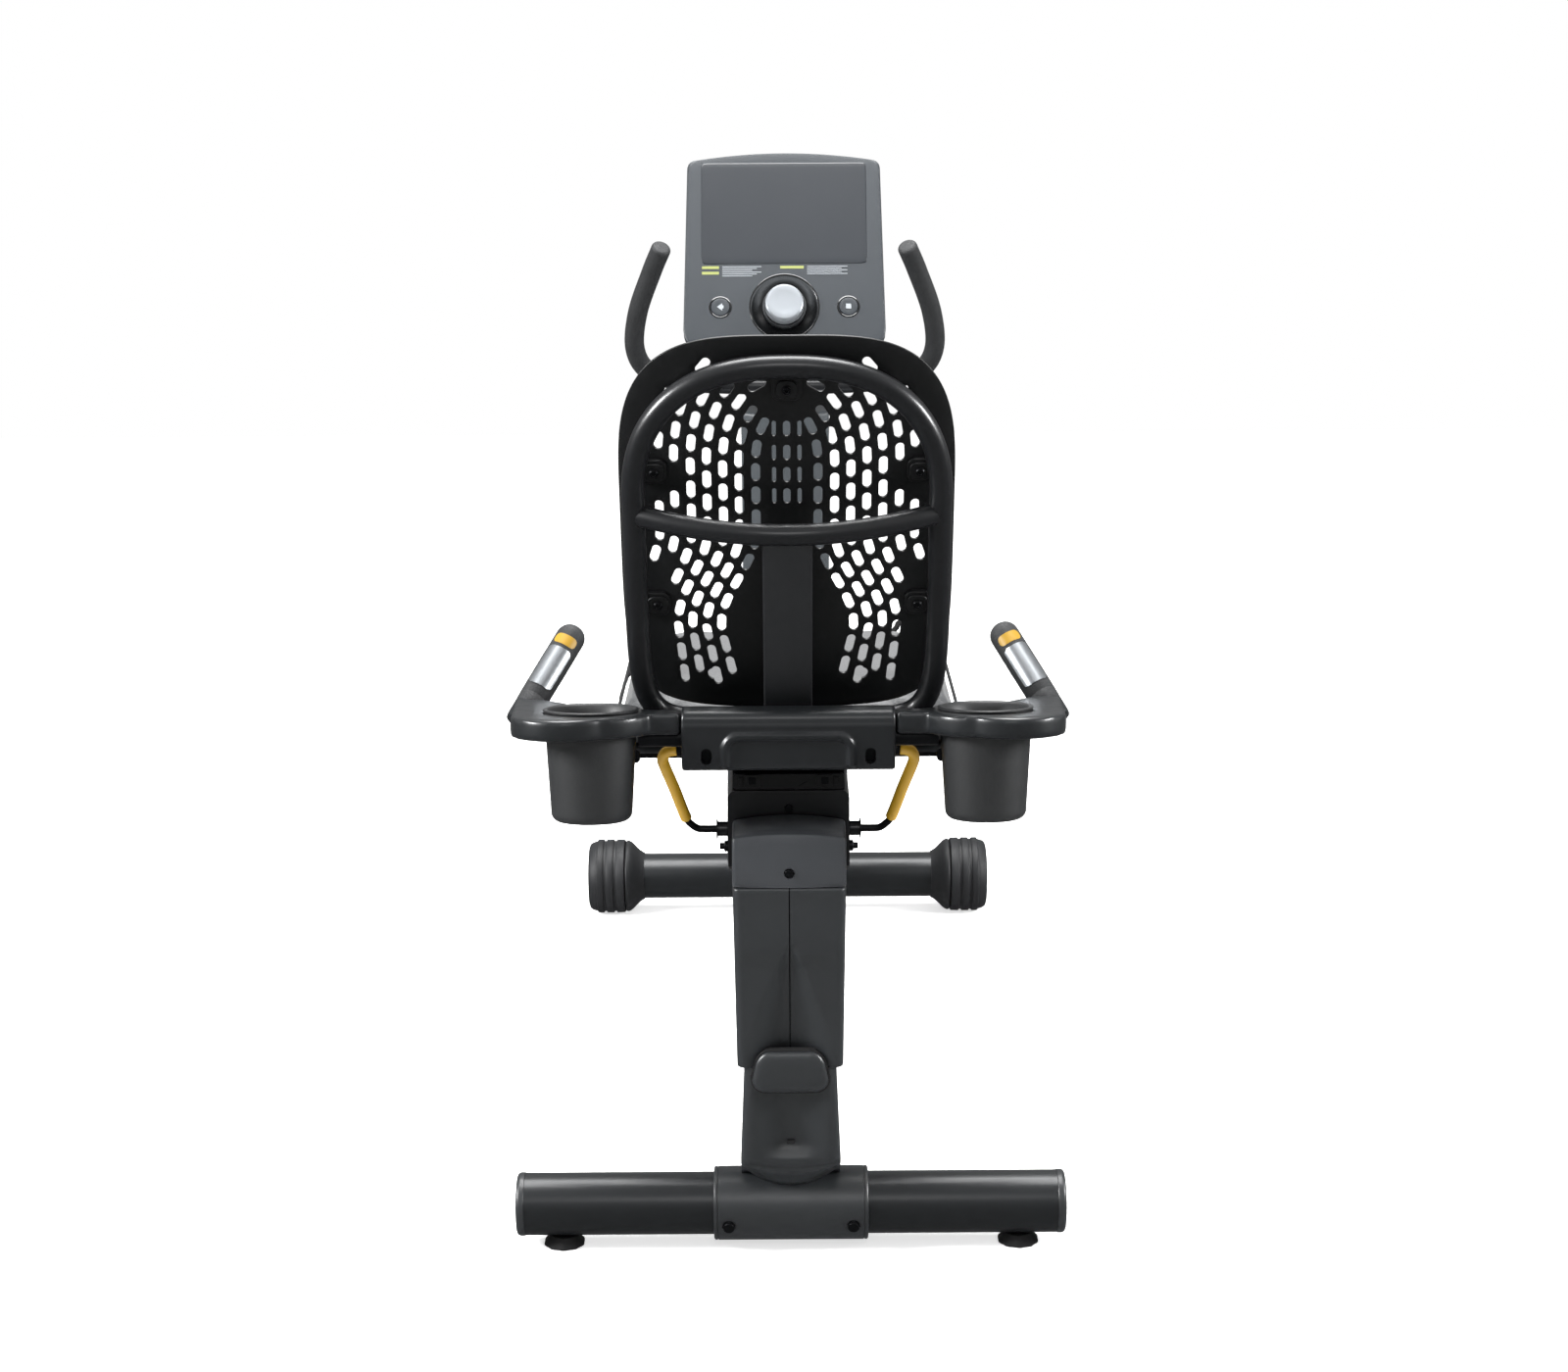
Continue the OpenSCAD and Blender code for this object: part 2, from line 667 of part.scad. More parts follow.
module seat_pan() {
    color("#2b2d2f") {
        difference() {
            block(-67, 67, 20, 110, bracket_top + 0.1, pan_top - 5);
            block(-62, 62, 25, 105, bracket_top - 1, pan_top - 10);
        }
        translate([0, 0, pan_top - 6]) linear_extrude(6) hull()
            for (x = [-185, 185], y = [70, 490]) translate([x, y]) circle(r = 15);
        block(-67, 67, 8, 60, pan_top - 6, pan_top);
        sides() block(75, 100, 60, 470, pan_top - 21, pan_top - 5);
        sides() slab_x(56, 62) polygon([[-50, 638], [-50, 662], [-26, 662], [34, 612], [60, pan_top],
                                        [60, pan_top - 6], [12, pan_top - 6], [-14, 634]]);
        translate([0, -38, cross_z]) rod_x(-176, 176, 11);
    }
}
module seat_cushion() {
    color("#232527") translate([0, 0, pan_top + gap]) linear_extrude(cushion_h) hull()
        for (x = [-cushion_half_w + 45, cushion_half_w - 45], y = [82 + 45, 82 + cushion_len - 45])
            translate([x, y]) circle(r = 45);
}
// Closed loop of the back: rounder above the middle, squarer below it.
function loop_point(a, w, up, down, power) =
    let(n = sin(a) >= 0 ? power : 8, h = sin(a) >= 0 ? up : down)
    [w * sign(cos(a)) * pow(abs(cos(a)), 2 / n), loop_mid + h * sign(sin(a)) * pow(abs(sin(a)), 2 / n)];
function loop_path(w, up, down, count) = [for (i = [0:count - 1])
    let(p = loop_point(360 * (i + 0.5) / count, w, up, down, loop_power)) [p[0], 0, p[1]]];
module back_frame() {
    color("#2b2d2f") on_back() difference() {
        union() {
            swept_tube(loop_path(back_half_w, loop_top, loop_mid, 72), back_tube_r, 14, true);
            swept_tube([for (i = [-8:8]) let(bow = 1 - pow(i / 8, 2))
                            [21.5 * i, -crossbar_bow * bow, crossbar_v - 3 * bow]], 12.5, 14);
            slab_x(-28.5, 28.5) polygon([[-crossbar_bow - 4, crossbar_v], [-crossbar_bow + 6, crossbar_v],
                [-crossbar_bow + 6, crossbar_v - 30], [-3, -10], [-3, -50.6], [-14, -46.8], [-14, -10],
                [-crossbar_bow - 4, crossbar_v - 30]]);
            for (p = lug_spots) lug(p);
        }
        for (p = lug_spots) translate([p[0], -30, p[1]]) rotate([-90, 0, 0]) cylinder(r = 3 + fit, h = 60);
    }
}
function shell_n(x) = shell_centre_n + x * x / (2 * shell_bend_r);
module lug(p) {
    n = shell_n(abs(p[0]) - 14) - 0.6;
    out = sign(p[0]);
    if (out == 0) block(-15, 15, n - 6, n, p[1] - 15, loop_mid + loop_top);
    else block(min(p[0] - out * 14, p[0] + out * 30), max(p[0] - out * 14, p[0] + out * 30),
               n - 6, n, p[1] - 15, p[1] + 15);
}
module slot(w, h) {
    square([w, h - w], center = true);
    for (s = [-1, 1]) translate([0, s * (h - w) / 2]) circle(d = w, $fn = 16);
}
module shell_outline(inset) {
    polygon([for (i = [0:95])
        loop_point(360 * (i + 0.5) / 96, shell_half_w - inset, shell_up - inset, loop_mid - 8 - inset,
                   shell_power)]);
}
// Slot columns stand in from the rim and pinch to a waist above the seat.
module shell_slots() {
    for (s = [-1, 1], i = [0:6], j = [0:14]) {
        v = 42 + 28 * j + (i % 2) * 14;
        x = (34 + 21.5 * i) * (1 - 0.16 * exp(-pow((v - 165) / 70, 2)));
        reach = v > loop_mid ? shell_up : loop_mid - 8;
        n = v > loop_mid ? shell_power : 8;
        rim_w = shell_half_w * pow(max(0, 1 - pow(abs(v - loop_mid) / reach, n)), 1 / n);
        near_lug = len([for (p = lug_spots) if (norm([s * x, v] - p) < 26) 1]) > 0;
        if (x < rim_w - 36 && v > 34 && v < 450 && !near_lug) translate([s * x, v]) slot(10, 20);
    }
}
module back_shell() {
    color("#202224") on_back() difference() {
        intersection() {
            translate([0, 80, 0]) rotate([90, 0, 0]) linear_extrude(120) difference() {
                shell_outline(0);
                shell_slots();
            }
            translate([0, shell_centre_n + shell_bend_r, -20]) difference() {
                cylinder(r = shell_bend_r, h = 540, $fn = 256);
                translate([0, 0, -1]) cylinder(r = shell_bend_r - shell_thick, h = 542, $fn = 256);
            }
        }
        for (p = lug_spots) translate([p[0], -30, p[1]]) rotate([-90, 0, 0]) cylinder(r = 3 + fit, h = 90);
    }
}
module seat_screws() {
    color("#17181a") {
        on_back() for (p = lug_spots) {
            n = shell_n(abs(p[0]) - 14) - 0.6;
            translate([p[0], n - 6.1, p[1]]) rotate([90, 0, 0]) cylinder(r = 5.5, h = 3.5);
            translate([p[0], n - 6.2, p[1]]) rotate([-90, 0, 0]) cylinder(r = 3, h = 14);
        }
        translate([0, bracket_back - 0.1, 550]) rotate([90, 0, 0]) cylinder(r = 5, h = 3);
        translate([0, bracket_back - 0.2, 550]) rotate([-90, 0, 0]) cylinder(r = 3, h = 5);
    }
}
module handle_box() {
    color("#33363a") difference() {
        slab_x(-box_x, box_x) polygon([[box_back, box_low + 6], [box_back + 6, box_low], [box_front, box_low],
            [box_front, box_high - 12], [box_front - 12, box_high], [box_back + 14, box_high],
            [box_back + 4, box_high - 8], [box_back, box_high - 20]]);
        slab_x(-box_x + wall, box_x - wall) polygon([[box_back + wall, box_low + 8],
            [box_back + 8, box_low + wall], [box_front + 1, box_low + wall], [box_front + 1, box_high - 16],
            [box_front - 14, box_high - wall],
            [box_back + 16, box_high - wall], [box_back + wall, box_high - 22]]);
        translate([0, -38, cross_z]) rod_x(-200, 200, 11 + gap);
        for (x = [-96, 96]) translate([x, box_back + 6, 633]) rotate([90, 0, 0])
            linear_extrude(12) slot(12, 19);
    }
}
module arm_outline() {
    circle(r = 76);
    translate([box_x + 0.4 - cup_x, -30]) square([cup_x - box_x - 40, 46]);
    hull() {
        translate([28, -28]) circle(r = 64);
        translate([72, 80]) circle(r = 20);
        translate([83, 132]) circle(r = 18);
    }
}
module arm() {
    difference() {
        union() {
            on_ring() translate([0, 0, -ring_half_h]) linear_extrude(2 * ring_half_h) arm_outline();
            on_grip() translate([0, 0, -30]) cylinder(r = grip_r, h = 30);
        }
        on_ring() translate([0, 0, -60]) cylinder(r = 53.4, h = 120);
        translate([0, -38, cross_z]) rod_x(100, 177, 11 + gap);
        on_grip() cylinder(r = grip_r + 0.2, h = 60);
        on_back() swept_tube(loop_path(back_half_w, loop_top, loop_mid, 72), back_tube_r + 1, 14, true);
    }
}
module arm_right() { color("#33363a") arm(); }
module arm_left() { color("#33363a") mirror([1, 0, 0]) arm(); }
// The cup tapers outside; inside, a cone leads down to a straight bore.
module cup() {
    rim = ring_half_h + 3.1;
    on_ring() difference() {
        union() {
            translate([0, 0, rim - 3]) cylinder(r = 56, h = 3);
            translate([0, 0, rim - cup_depth - 5]) cylinder(r1 = cup_in_r + 5, r2 = 53, h = cup_depth + 4);
        }
        translate([0, 0, rim - cup_depth]) cylinder(r = cup_in_r, h = cup_depth + 5);
        translate([0, 0, rim - 34]) cylinder(r1 = cup_in_r, r2 = 48, h = 34.01);
    }
}
module cup_right() { color("#34373a") cup(); }
module cup_left() { color("#34373a") mirror([1, 0, 0]) cup(); }
module grips() {
    color("#55585b") sides() on_grip() {
        translate([0, 0, 0.1]) cylinder(r = grip_r, h = grip_len - 8);
        translate([0, 0, grip_len - 7.9]) cylinder(r1 = grip_r, r2 = grip_r - 5, h = 7);
    }
}
module contact_plates() {
    color("#b9bcc0") sides() on_grip() for (turn = [100, 280])
        translate([0, 0, 16]) rotate([0, 0, turn]) rotate_extrude(angle = 130)
            translate([grip_r + 0.05, 0]) square([1.2, 58]);
}
cable_points = [[44, 18.2, 588], [34, 14, 587.5], [22, 12, 584], [10, 12.2, 577.5], [6, 14, 574.2]];
module sensor_cable() {
    color("#101112") swept_tube(smooth_path(cable_points, 4), 1.6, 8);
}

module centred() { translate([0, -y_mid, 0]) children(); }

centred() rear_stabiliser();
centred() rear_end_caps();
centred() rear_sleeve();
centred() rear_post();
centred() boot();
centred() rear_shell_left();
centred() rear_shell_right();
centred() rear_cap();
centred() frame_screws();
centred() level_foot_left();
centred() level_foot_right();
centred() seat_rail();
centred() front_frame();
centred() front_stabiliser();
centred() wheel_covers();
centred() wheel_left();
centred() wheel_right();
centred() crank_bearings();
centred() crank_axle();
centred() crank_left();
centred() crank_right();
centred() pedal_left();
centred() pedal_right();
centred() strap_left();
centred() strap_right();
centred() drive_pulley();
centred() drive_belt();
centred() flywheel();
centred() housing_left();
centred() housing_right();
centred() housing_top();
centred() mast_tube();
centred() mast_cover();
centred() front_handlebar();
centred() front_grips();
centred() console_face();
centred() console_back();
centred() display_glass();
centred() dial_ring();
centred() dial_knob();
centred() button_left();
centred() button_right();
centred() carriage_bracket();
centred() glide_pads();
centred() release_levers();
centred() lever_grips();
centred() lock_pin();
centred() seat_pan();
centred() seat_cushion();
centred() back_frame();
centred() back_shell();
centred() seat_screws();
centred() handle_box();
centred() arm_left();
centred() arm_right();
centred() cup_left();
centred() cup_right();
centred() grips();
centred() contact_plates();
centred() sensor_cable();
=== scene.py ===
# %% [markdown]
# # A recumbent exercise bike
# A gym bike seen from behind: a wide rear foot, a tall covered post, a sliding seat with a
# perforated back, arms with cup holders, and a console on a mast far in front.
# The CAD model fixes every size and joint. This lesson puts the looks round it.

# %% Load the fixed frame
import json
import math

import bmesh
import bpy
import numpy as np
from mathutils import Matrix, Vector, geometry

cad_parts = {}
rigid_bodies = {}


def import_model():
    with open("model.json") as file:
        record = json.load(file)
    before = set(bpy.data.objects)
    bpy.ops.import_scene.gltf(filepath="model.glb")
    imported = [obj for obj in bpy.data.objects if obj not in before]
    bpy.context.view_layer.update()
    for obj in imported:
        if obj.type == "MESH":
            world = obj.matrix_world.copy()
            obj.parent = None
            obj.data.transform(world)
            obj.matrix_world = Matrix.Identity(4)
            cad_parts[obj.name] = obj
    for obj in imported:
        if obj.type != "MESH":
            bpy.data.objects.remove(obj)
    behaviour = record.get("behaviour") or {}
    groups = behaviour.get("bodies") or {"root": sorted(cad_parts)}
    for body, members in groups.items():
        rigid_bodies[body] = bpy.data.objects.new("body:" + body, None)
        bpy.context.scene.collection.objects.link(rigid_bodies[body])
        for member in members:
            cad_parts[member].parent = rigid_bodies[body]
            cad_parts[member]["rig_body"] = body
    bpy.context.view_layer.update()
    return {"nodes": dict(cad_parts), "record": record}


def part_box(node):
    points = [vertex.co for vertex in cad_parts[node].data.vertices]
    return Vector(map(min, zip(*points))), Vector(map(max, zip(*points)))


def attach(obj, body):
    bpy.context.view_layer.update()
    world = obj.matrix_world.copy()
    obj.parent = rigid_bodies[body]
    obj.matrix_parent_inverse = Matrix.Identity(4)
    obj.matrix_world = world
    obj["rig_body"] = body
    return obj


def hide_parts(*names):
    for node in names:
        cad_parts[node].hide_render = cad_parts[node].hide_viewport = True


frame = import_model()
nodes = frame["nodes"]

# %% [markdown]
# Shapes are worked out in millimetres from the middle of the rear foot, on the floor, because
# that is how a drawing of the machine reads. One function puts them into the frame, whose
# origin lies under the middle of the bike, so every place still comes from the CAD model.

# %% Millimetres on the drawing, metres in the frame
low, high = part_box("rear_stabiliser")
REAR = np.array([0.0, (low.y + high.y) / 2, 0.0])
UP = np.array([0.0, 0.0, 1.0])
SIDE = np.array([1.0, 0.0, 0.0])
FORWARD = np.array([0.0, 1.0, 0.0])


def place(points):
    """Drawing millimetres to frame metres: a thousandth of each, moved to the rear foot."""
    return np.asarray(points, float) * 0.001 + REAR


def tilt_x(points, degrees, base):
    """Points turned about the X axis by an angle, then moved to a base point."""
    c, s = math.cos(math.radians(degrees)), math.sin(math.radians(degrees))
    return np.asarray(points, float) @ np.array([[1, 0, 0], [0, c, s], [0, -s, c]]) + base


def unit(v):
    """A vector, or rows of vectors, made one long."""
    v = np.asarray(v, float)
    return v / np.linalg.norm(v, axis=-1, keepdims=True)


def step(x, low, high):
    """A smooth step from 0 at low to 1 at high: three t squared less two t cubed."""
    t = np.clip((np.asarray(x, float) - low) / (high - low), 0, 1)
    return t * t * (3 - 2 * t)


print("rear foot at y =", round(REAR[1], 4))

# %% [markdown]
# Every new piece is a surface: rings of points carried along something. A ring may be a
# circle round a path (a tube), a profile turned about an axis (a lathe), or an outline that
# changes with height (a cover). Quads join the rings, and a fan closes each end.

# %% Surfaces from rings
def grid_faces(rows, columns, loop):
    """Quads between neighbouring rings; each ring is closed, and a loop closes the rows too."""
    r = np.arange(rows if loop else rows - 1)[:, None]
    c = np.arange(columns)[None, :]
    r2, c2 = (r + 1) % rows, (c + 1) % columns
    quads = [r * columns + c, r * columns + c2, r2 * columns + c2, r2 * columns + c]
    return np.stack(np.broadcast_arrays(*quads), -1).reshape(-1, 4).tolist()


def skin(rings, loop=False):
    """Points and faces of a closed surface through rings of shape (rows, columns, 3)."""
    rings = np.asarray(rings, float)
    rows, columns = rings.shape[:2]
    points = rings.reshape(-1, 3)
    faces = grid_faces(rows, columns, loop)
    if not loop:
        points = np.vstack([points, rings[0].mean(0), rings[-1].mean(0)])
        k = np.arange(columns)
        first, last = rows * columns, rows * columns + 1
        faces += np.stack([k * 0 + first, (k + 1) % columns, k], -1).tolist()
        end = (rows - 1) * columns
        faces += np.stack([k * 0 + last, end + k, end + (k + 1) % columns], -1).tolist()
    return points, faces


def circle_round(path, radius, sides, up, loop=False):
    """Rings square to a path: centre + radius (cos a side + sin a rise), a running round once.
    Side is up cross tangent, and rise is tangent cross side."""
    path = np.asarray(path, float)
    tangent = np.roll(path, -1, 0) - np.roll(path, 1, 0) if loop else np.gradient(path, axis=0)
    tangent = unit(tangent)
    side = unit(np.cross(up, tangent))
    rise = np.cross(tangent, side)
    a = np.arange(sides) * 2 * math.pi / sides
    reach = np.broadcast_to(np.asarray(radius, float), (len(path),))[:, None, None]
    turn = np.cos(a)[None, :, None] * side[:, None] + np.sin(a)[None, :, None] * rise[:, None]
    return path[:, None] + reach * turn


def curve(points, steps):
    """A smooth path through points: each stretch is a Catmull-Rom cubic of its four neighbours."""
    p = np.asarray(points, float)
    p = np.vstack([2 * p[0] - p[1], p, 2 * p[-1] - p[-2]])
    a, b, c, d = p[:-3, None], p[1:-2, None], p[2:-1, None], p[3:, None]
    t = (np.arange(steps) / steps)[None, :, None]
    bends = (2 * b + (c - a) * t + (2 * a - 5 * b + 4 * c - d) * t**2
             + (3 * b - a - 3 * c + d) * t**3) / 2
    return np.vstack([bends.reshape(-1, 3), p[-2]])


def blunt(path, radius, nose):
    """A path and its radii with both ends rounded: the radius falls by nose times one minus the
    cosine of an angle, while the path runs on by nose times its sine."""
    path = np.asarray(path, float)
    radius = np.broadcast_to(np.asarray(radius, float), (len(path),))
    a = np.linspace(math.pi / 2, 0, 6)
    back, drop = nose * (1 - np.sin(a)), nose * (1 - np.cos(a))
    first = path[0] - back[:, None] * unit(path[0] - path[1])
    last = path[-1] - back[::-1, None] * unit(path[-1] - path[-2])
    path = np.vstack([first, path[1:-1], last])
    return path, np.concatenate([radius[0] - drop, radius[1:-1], radius[-1] - drop[::-1]])


def lathe(profile, centre, axis, sides):
    """A profile of (distance, radius) rows turned about an axis through a centre."""
    profile = np.asarray(profile, float)
    axis = unit(axis)
    side = unit(np.cross(axis, UP if abs(axis[2]) < 0.9 else SIDE))
    rise = np.cross(axis, side)
    a = np.arange(sides) * 2 * math.pi / sides
    turn = np.cos(a)[None, :, None] * side + np.sin(a)[None, :, None] * rise
    return np.asarray(centre, float) + profile[:, :1, None] * axis + profile[:, 1:, None] * turn


def even(outline, count):
    """A closed outline walked round once, with points an equal distance apart."""
    outline = np.asarray(outline, float)
    closed = np.vstack([outline, outline[:1]])
    run = np.concatenate([[0], np.cumsum(np.linalg.norm(np.diff(closed, axis=0), axis=1))])
    at = np.arange(count) * run[-1] / count
    return np.stack([np.interp(at, run, closed[:, k]) for k in range(closed.shape[1])], -1)


def corner(centre, radius, start, steps=7):
    """A quarter circle about a centre, from an angle in degrees."""
    a = np.radians(start + np.linspace(0, 90, steps))
    return np.stack([centre[0] + radius * np.cos(a), centre[1] + radius * np.sin(a)], -1)


def round_box(x0, x1, y0, y1, radius):
    """A rectangle whose corners are quarter circles."""
    r = radius
    return np.vstack([corner((x1 - r, y1 - r), r, 0), corner((x0 + r, y1 - r), r, 90),
                      corner((x0 + r, y0 + r), r, 180), corner((x1 - r, y0 + r), r, 270)])


def prism(outline, low, high):
    """A flat outline in x and z, given thickness in y from low to high."""
    outline = np.asarray(outline, float)
    n = len(outline)
    ring = [np.column_stack([outline[:, 0], np.full(n, y), outline[:, 1]]) for y in (low, high)]
    k = np.arange(n)
    faces = np.stack([k, (k + 1) % n, (k + 1) % n + n, k + n], -1).tolist()
    return np.vstack(ring), faces + [k[::-1].tolist(), (k + n).tolist()]


print("surface helpers ready")

# %% [markdown]
# One function turns points and faces into a Blender object. It turns the surface inside out
# if its volume comes out negative, shades it smooth except where faces meet at a sharp angle,
# parents it to the CAD body that it moves with, and hides the CAD nodes that it stands for.

# %% From points to a finished piece
SLOTS = {s["node"]: s["material_slot"] for s in frame["record"]["subparts"]}
made = []


def add(name, shape, finish, body, stands_for, sharp=32.0, bevel=0.0, solid=True):
    """A new piece from (points, faces) in drawing millimetres."""
    points, faces = shape
    mesh = bpy.data.meshes.new(name)
    mesh.from_pydata(place(points).tolist(), [], faces)
    work = bmesh.new()
    work.from_mesh(mesh)
    if solid and work.calc_volume(signed=True) < 0:
        bmesh.ops.reverse_faces(work, faces=work.faces)
    work.to_mesh(mesh)
    work.free()
    piece = bpy.data.objects.new(name, mesh)
    bpy.context.scene.collection.objects.link(piece)
    return dress(piece, finish, body, stands_for, sharp, bevel)


def dress(piece, finish, body, stands_for, sharp=32.0, bevel=0.0):
    """Gives a piece its shading, its edge rounding, its material and its body."""
    mesh = piece.data
    mesh.shade_smooth()
    mesh.set_sharp_from_angle(angle=math.radians(sharp))
    mesh.materials.clear()
    mesh.materials.append(finish)
    if bevel:
        rounding = piece.modifiers.new("edges", "BEVEL")
        rounding.width = bevel * 0.001
        rounding.segments = 3
        rounding.limit_method = "ANGLE"
        rounding.angle_limit = math.radians(40)
        rounding.use_clamp_overlap = True
    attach(piece, body)
    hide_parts(*stands_for)
    made.append(piece.name)
    return piece


def both(name, shape, finish, body, stands_for, **settings):
    """A right piece and its mirror image on the left. A '*' in a name becomes left or right."""
    points, faces = shape
    for side, sign in (("right", 1), ("left", -1)):
        flipped = np.asarray(points) * [sign, 1, 1]
        add(name.replace("*", side), (flipped, faces), finish, body.replace("*", side),
            tuple(n.replace("*", side) for n in stands_for), **settings)


def joined(*shapes):
    """Several shapes as one piece with several closed shells."""
    points, faces, start = [], [], 0
    for more, rows in shapes:
        points.append(np.asarray(more, float))
        faces += [[i + start for i in row] for row in rows]
        start += len(more)
    return np.vstack(points), faces


def mirrored(shape):
    """A shape and its mirror image across the middle plane, in one."""
    points, faces = shape
    return joined(shape, (np.asarray(points) * [-1, 1, 1], [row[::-1] for row in faces]))


def as_object(shape):
    """A working object from (points, faces), in metres about the rear foot, facing outwards."""
    mesh = bpy.data.meshes.new("working")
    mesh.from_pydata((np.asarray(shape[0], float) * 0.001).tolist(), [], shape[1])
    work = bmesh.new()
    work.from_mesh(mesh)
    bmesh.ops.recalc_face_normals(work, faces=work.faces)
    work.to_mesh(mesh)
    work.free()
    thing = bpy.data.objects.new("working", mesh)
    bpy.context.scene.collection.objects.link(thing)
    return thing


def carve(shape, *tools):
    """A shape with other shapes taken away, by Boolean modifiers."""
    body = as_object(shape)
    cutters = [as_object(tool) for tool in tools]
    for cutter in cutters:
        taking = body.modifiers.new("taking", "BOOLEAN")
        taking.operation = "DIFFERENCE"
        taking.solver = "EXACT"
        taking.object = cutter
    seen = body.evaluated_get(bpy.context.evaluated_depsgraph_get()).to_mesh()
    points = np.empty(len(seen.vertices) * 3)
    seen.vertices.foreach_get("co", points)
    faces = [list(face.vertices) for face in seen.polygons]
    for thing in [body] + cutters:
        bpy.data.meshes.remove(thing.data)
    return points.reshape(-1, 3) * 1000, faces


def merged_copy(node, name, flatten):
    """A copy of a CAD node with its corners merged and, if asked, its flat triangles joined."""
    mesh = nodes[node].data.copy()
    work = bmesh.new()
    work.from_mesh(mesh)
    bmesh.ops.remove_doubles(work, verts=work.verts, dist=2e-6)
    if flatten:
        bmesh.ops.dissolve_limit(work, angle_limit=math.radians(1.0), verts=work.verts,
                                 edges=work.edges)
    work.to_mesh(mesh)
    work.free()
    piece = bpy.data.objects.new(name, mesh)
    bpy.context.scene.collection.objects.link(piece)
    return piece


def in_cells(piece, size):
    """Adds a modifier that rebuilds a piece from even cells of a size in metres."""
    cells = piece.modifiers.new("cells", "REMESH")
    cells.mode = "VOXEL"
    cells.voxel_size = size


def bake_modifiers(piece):
    """Makes what the modifiers show the piece's own mesh."""
    piece.data = bpy.data.meshes.new_from_object(
        piece.evaluated_get(bpy.context.evaluated_depsgraph_get()))
    piece.modifiers.clear()


def soften(node, finish, bevel):
    """A CAD node's own shape with its triangles merged into faces and its edges rounded."""
    piece = merged_copy(node, node + "_soft", True)
    return dress(piece, finish, nodes[node]["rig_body"], (node,), sharp=35, bevel=bevel)


print("piece helpers ready")

# %% [markdown]
# Finishes are sums of small patterns: a fine grain, a slow cloudiness and a few marks. Sums
# are easier to read as arithmetic than as boxes and wires, so a small class wraps a node's
# socket, and adding or multiplying two of them adds the Math node that does it.

# %% Shader arithmetic
class Amount:
    """A number that varies over a surface."""

    def __init__(self, finish, socket):
        self.finish, self.socket = finish, socket

    def math(self, operation, *others):
        inputs = {i: value for i, value in enumerate((self,) + others)}
        return Amount(self.finish, self.finish.node("Math", {"operation": operation},
                                                    inputs).outputs[0])

    def __add__(self, other):
        return self.math("ADD", other)

    def __mul__(self, other):
        return self.math("MULTIPLY", other)

    def __sub__(self, other):
        return self.math("SUBTRACT", other)

    def __rsub__(self, other):
        return self * -1 + other

    __radd__, __rmul__ = __add__, __mul__


class Finish:
    """A material with one Principled shader, and short calls for the patterns that feed it."""

    def __init__(self, name, **constants):
        self.material = bpy.data.materials.new(name)
        self.material.use_nodes = True
        self.tree = self.material.node_tree
        self.shader = self.tree.nodes["Principled BSDF"]
        for socket, value in constants.items():
            self.shader.inputs[socket.replace("_", " ")].default_value = value

    def node(self, kind, settings, inputs):
        made = self.tree.nodes.new("ShaderNode" + kind)
        for key, value in settings.items():
            setattr(made, key, value)
        for key, value in inputs.items():
            if isinstance(value, Amount):
                value = value.socket
            if isinstance(value, bpy.types.NodeSocket):
                self.tree.links.new(value, made.inputs[key])
            else:
                made.inputs[key].default_value = value
        return made

    def place(self, stretch=(1, 1, 1)):
        where = self.node("TexCoord", {}, {}).outputs["Object"]
        if stretch == (1, 1, 1):
            return where
        return self.node("VectorMath", {"operation": "MULTIPLY"}, {0: where, 1: stretch}).outputs[0]

    def noise(self, size, detail, stretch=(1, 1, 1)):
        """Cloudy noise whose clouds are about size metres across."""
        made = self.node("TexNoise", {}, {"Vector": self.place(stretch), "Scale": 1 / size,
                                          "Detail": detail, "Roughness": 0.5})
        return Amount(self, made.outputs["Fac"])

    def cells(self, size):
        """Distance to the nearest of many scattered points, about size metres apart."""
        made = self.node("TexVoronoi", {}, {"Vector": self.place(), "Scale": 1 / size})
        return Amount(self, made.outputs["Distance"])

    def blend(self, amount, first, second):
        made = self.node("Mix", {"data_type": "RGBA"}, {0: amount, 6: first, 7: second})
        return made.outputs[2]

    def feed(self, socket, value):
        value = value.socket if isinstance(value, Amount) else value
        self.tree.links.new(value, self.shader.inputs[socket])

    def bump(self, height, depth):
        made = self.node("Bump", {}, {"Height": height, "Distance": depth, "Strength": 1.0})
        self.feed("Normal", made.outputs[0])


def paint(code, change=1.0):
    """A colour code as linear light, with alpha: ((c + 0.055) / 1.055) to the power 2.4."""
    c = np.array([int(code[i:i + 2], 16) for i in (1, 3, 5)]) / 255
    c = np.where(c < 0.04045, c / 12.92, ((c + 0.055) / 1.055) ** 2.4)
    return (*np.clip(c * change, 0, 1).tolist(), 1.0)


def satin(name, code, roughness, grain, depth, shift, **constants):
    """Moulded plastic or paint: a fine grain in relief, and a slow drift of tone and gloss."""
    constants.setdefault("Specular_IOR_Level", 0.32)
    f = Finish(name, **constants)
    cloud = f.noise(0.06, 3)
    f.feed("Base Color", f.blend(cloud, paint(code, 1 - shift), paint(code, 1 + shift)))
    f.feed("Roughness", f.noise(0.02, 4) * 0.12 + (roughness - 0.06))
    f.bump(f.cells(grain) + f.noise(grain * 3, 1) * 0.6, depth)
    return f.material


print("shader helpers ready")

# %% [markdown]
# The machine has few finishes, most of them nearly black, so their gloss and grain tell them
# apart. The frame tubes are a charcoal paint with a little metal in it. The covers are moulded
# plastic with a fine spark texture, and the post's cap, the mast and the top of the drive cover
# are a lighter grey. Each row gives a colour, a gloss, a grain size, its depth and a drift.

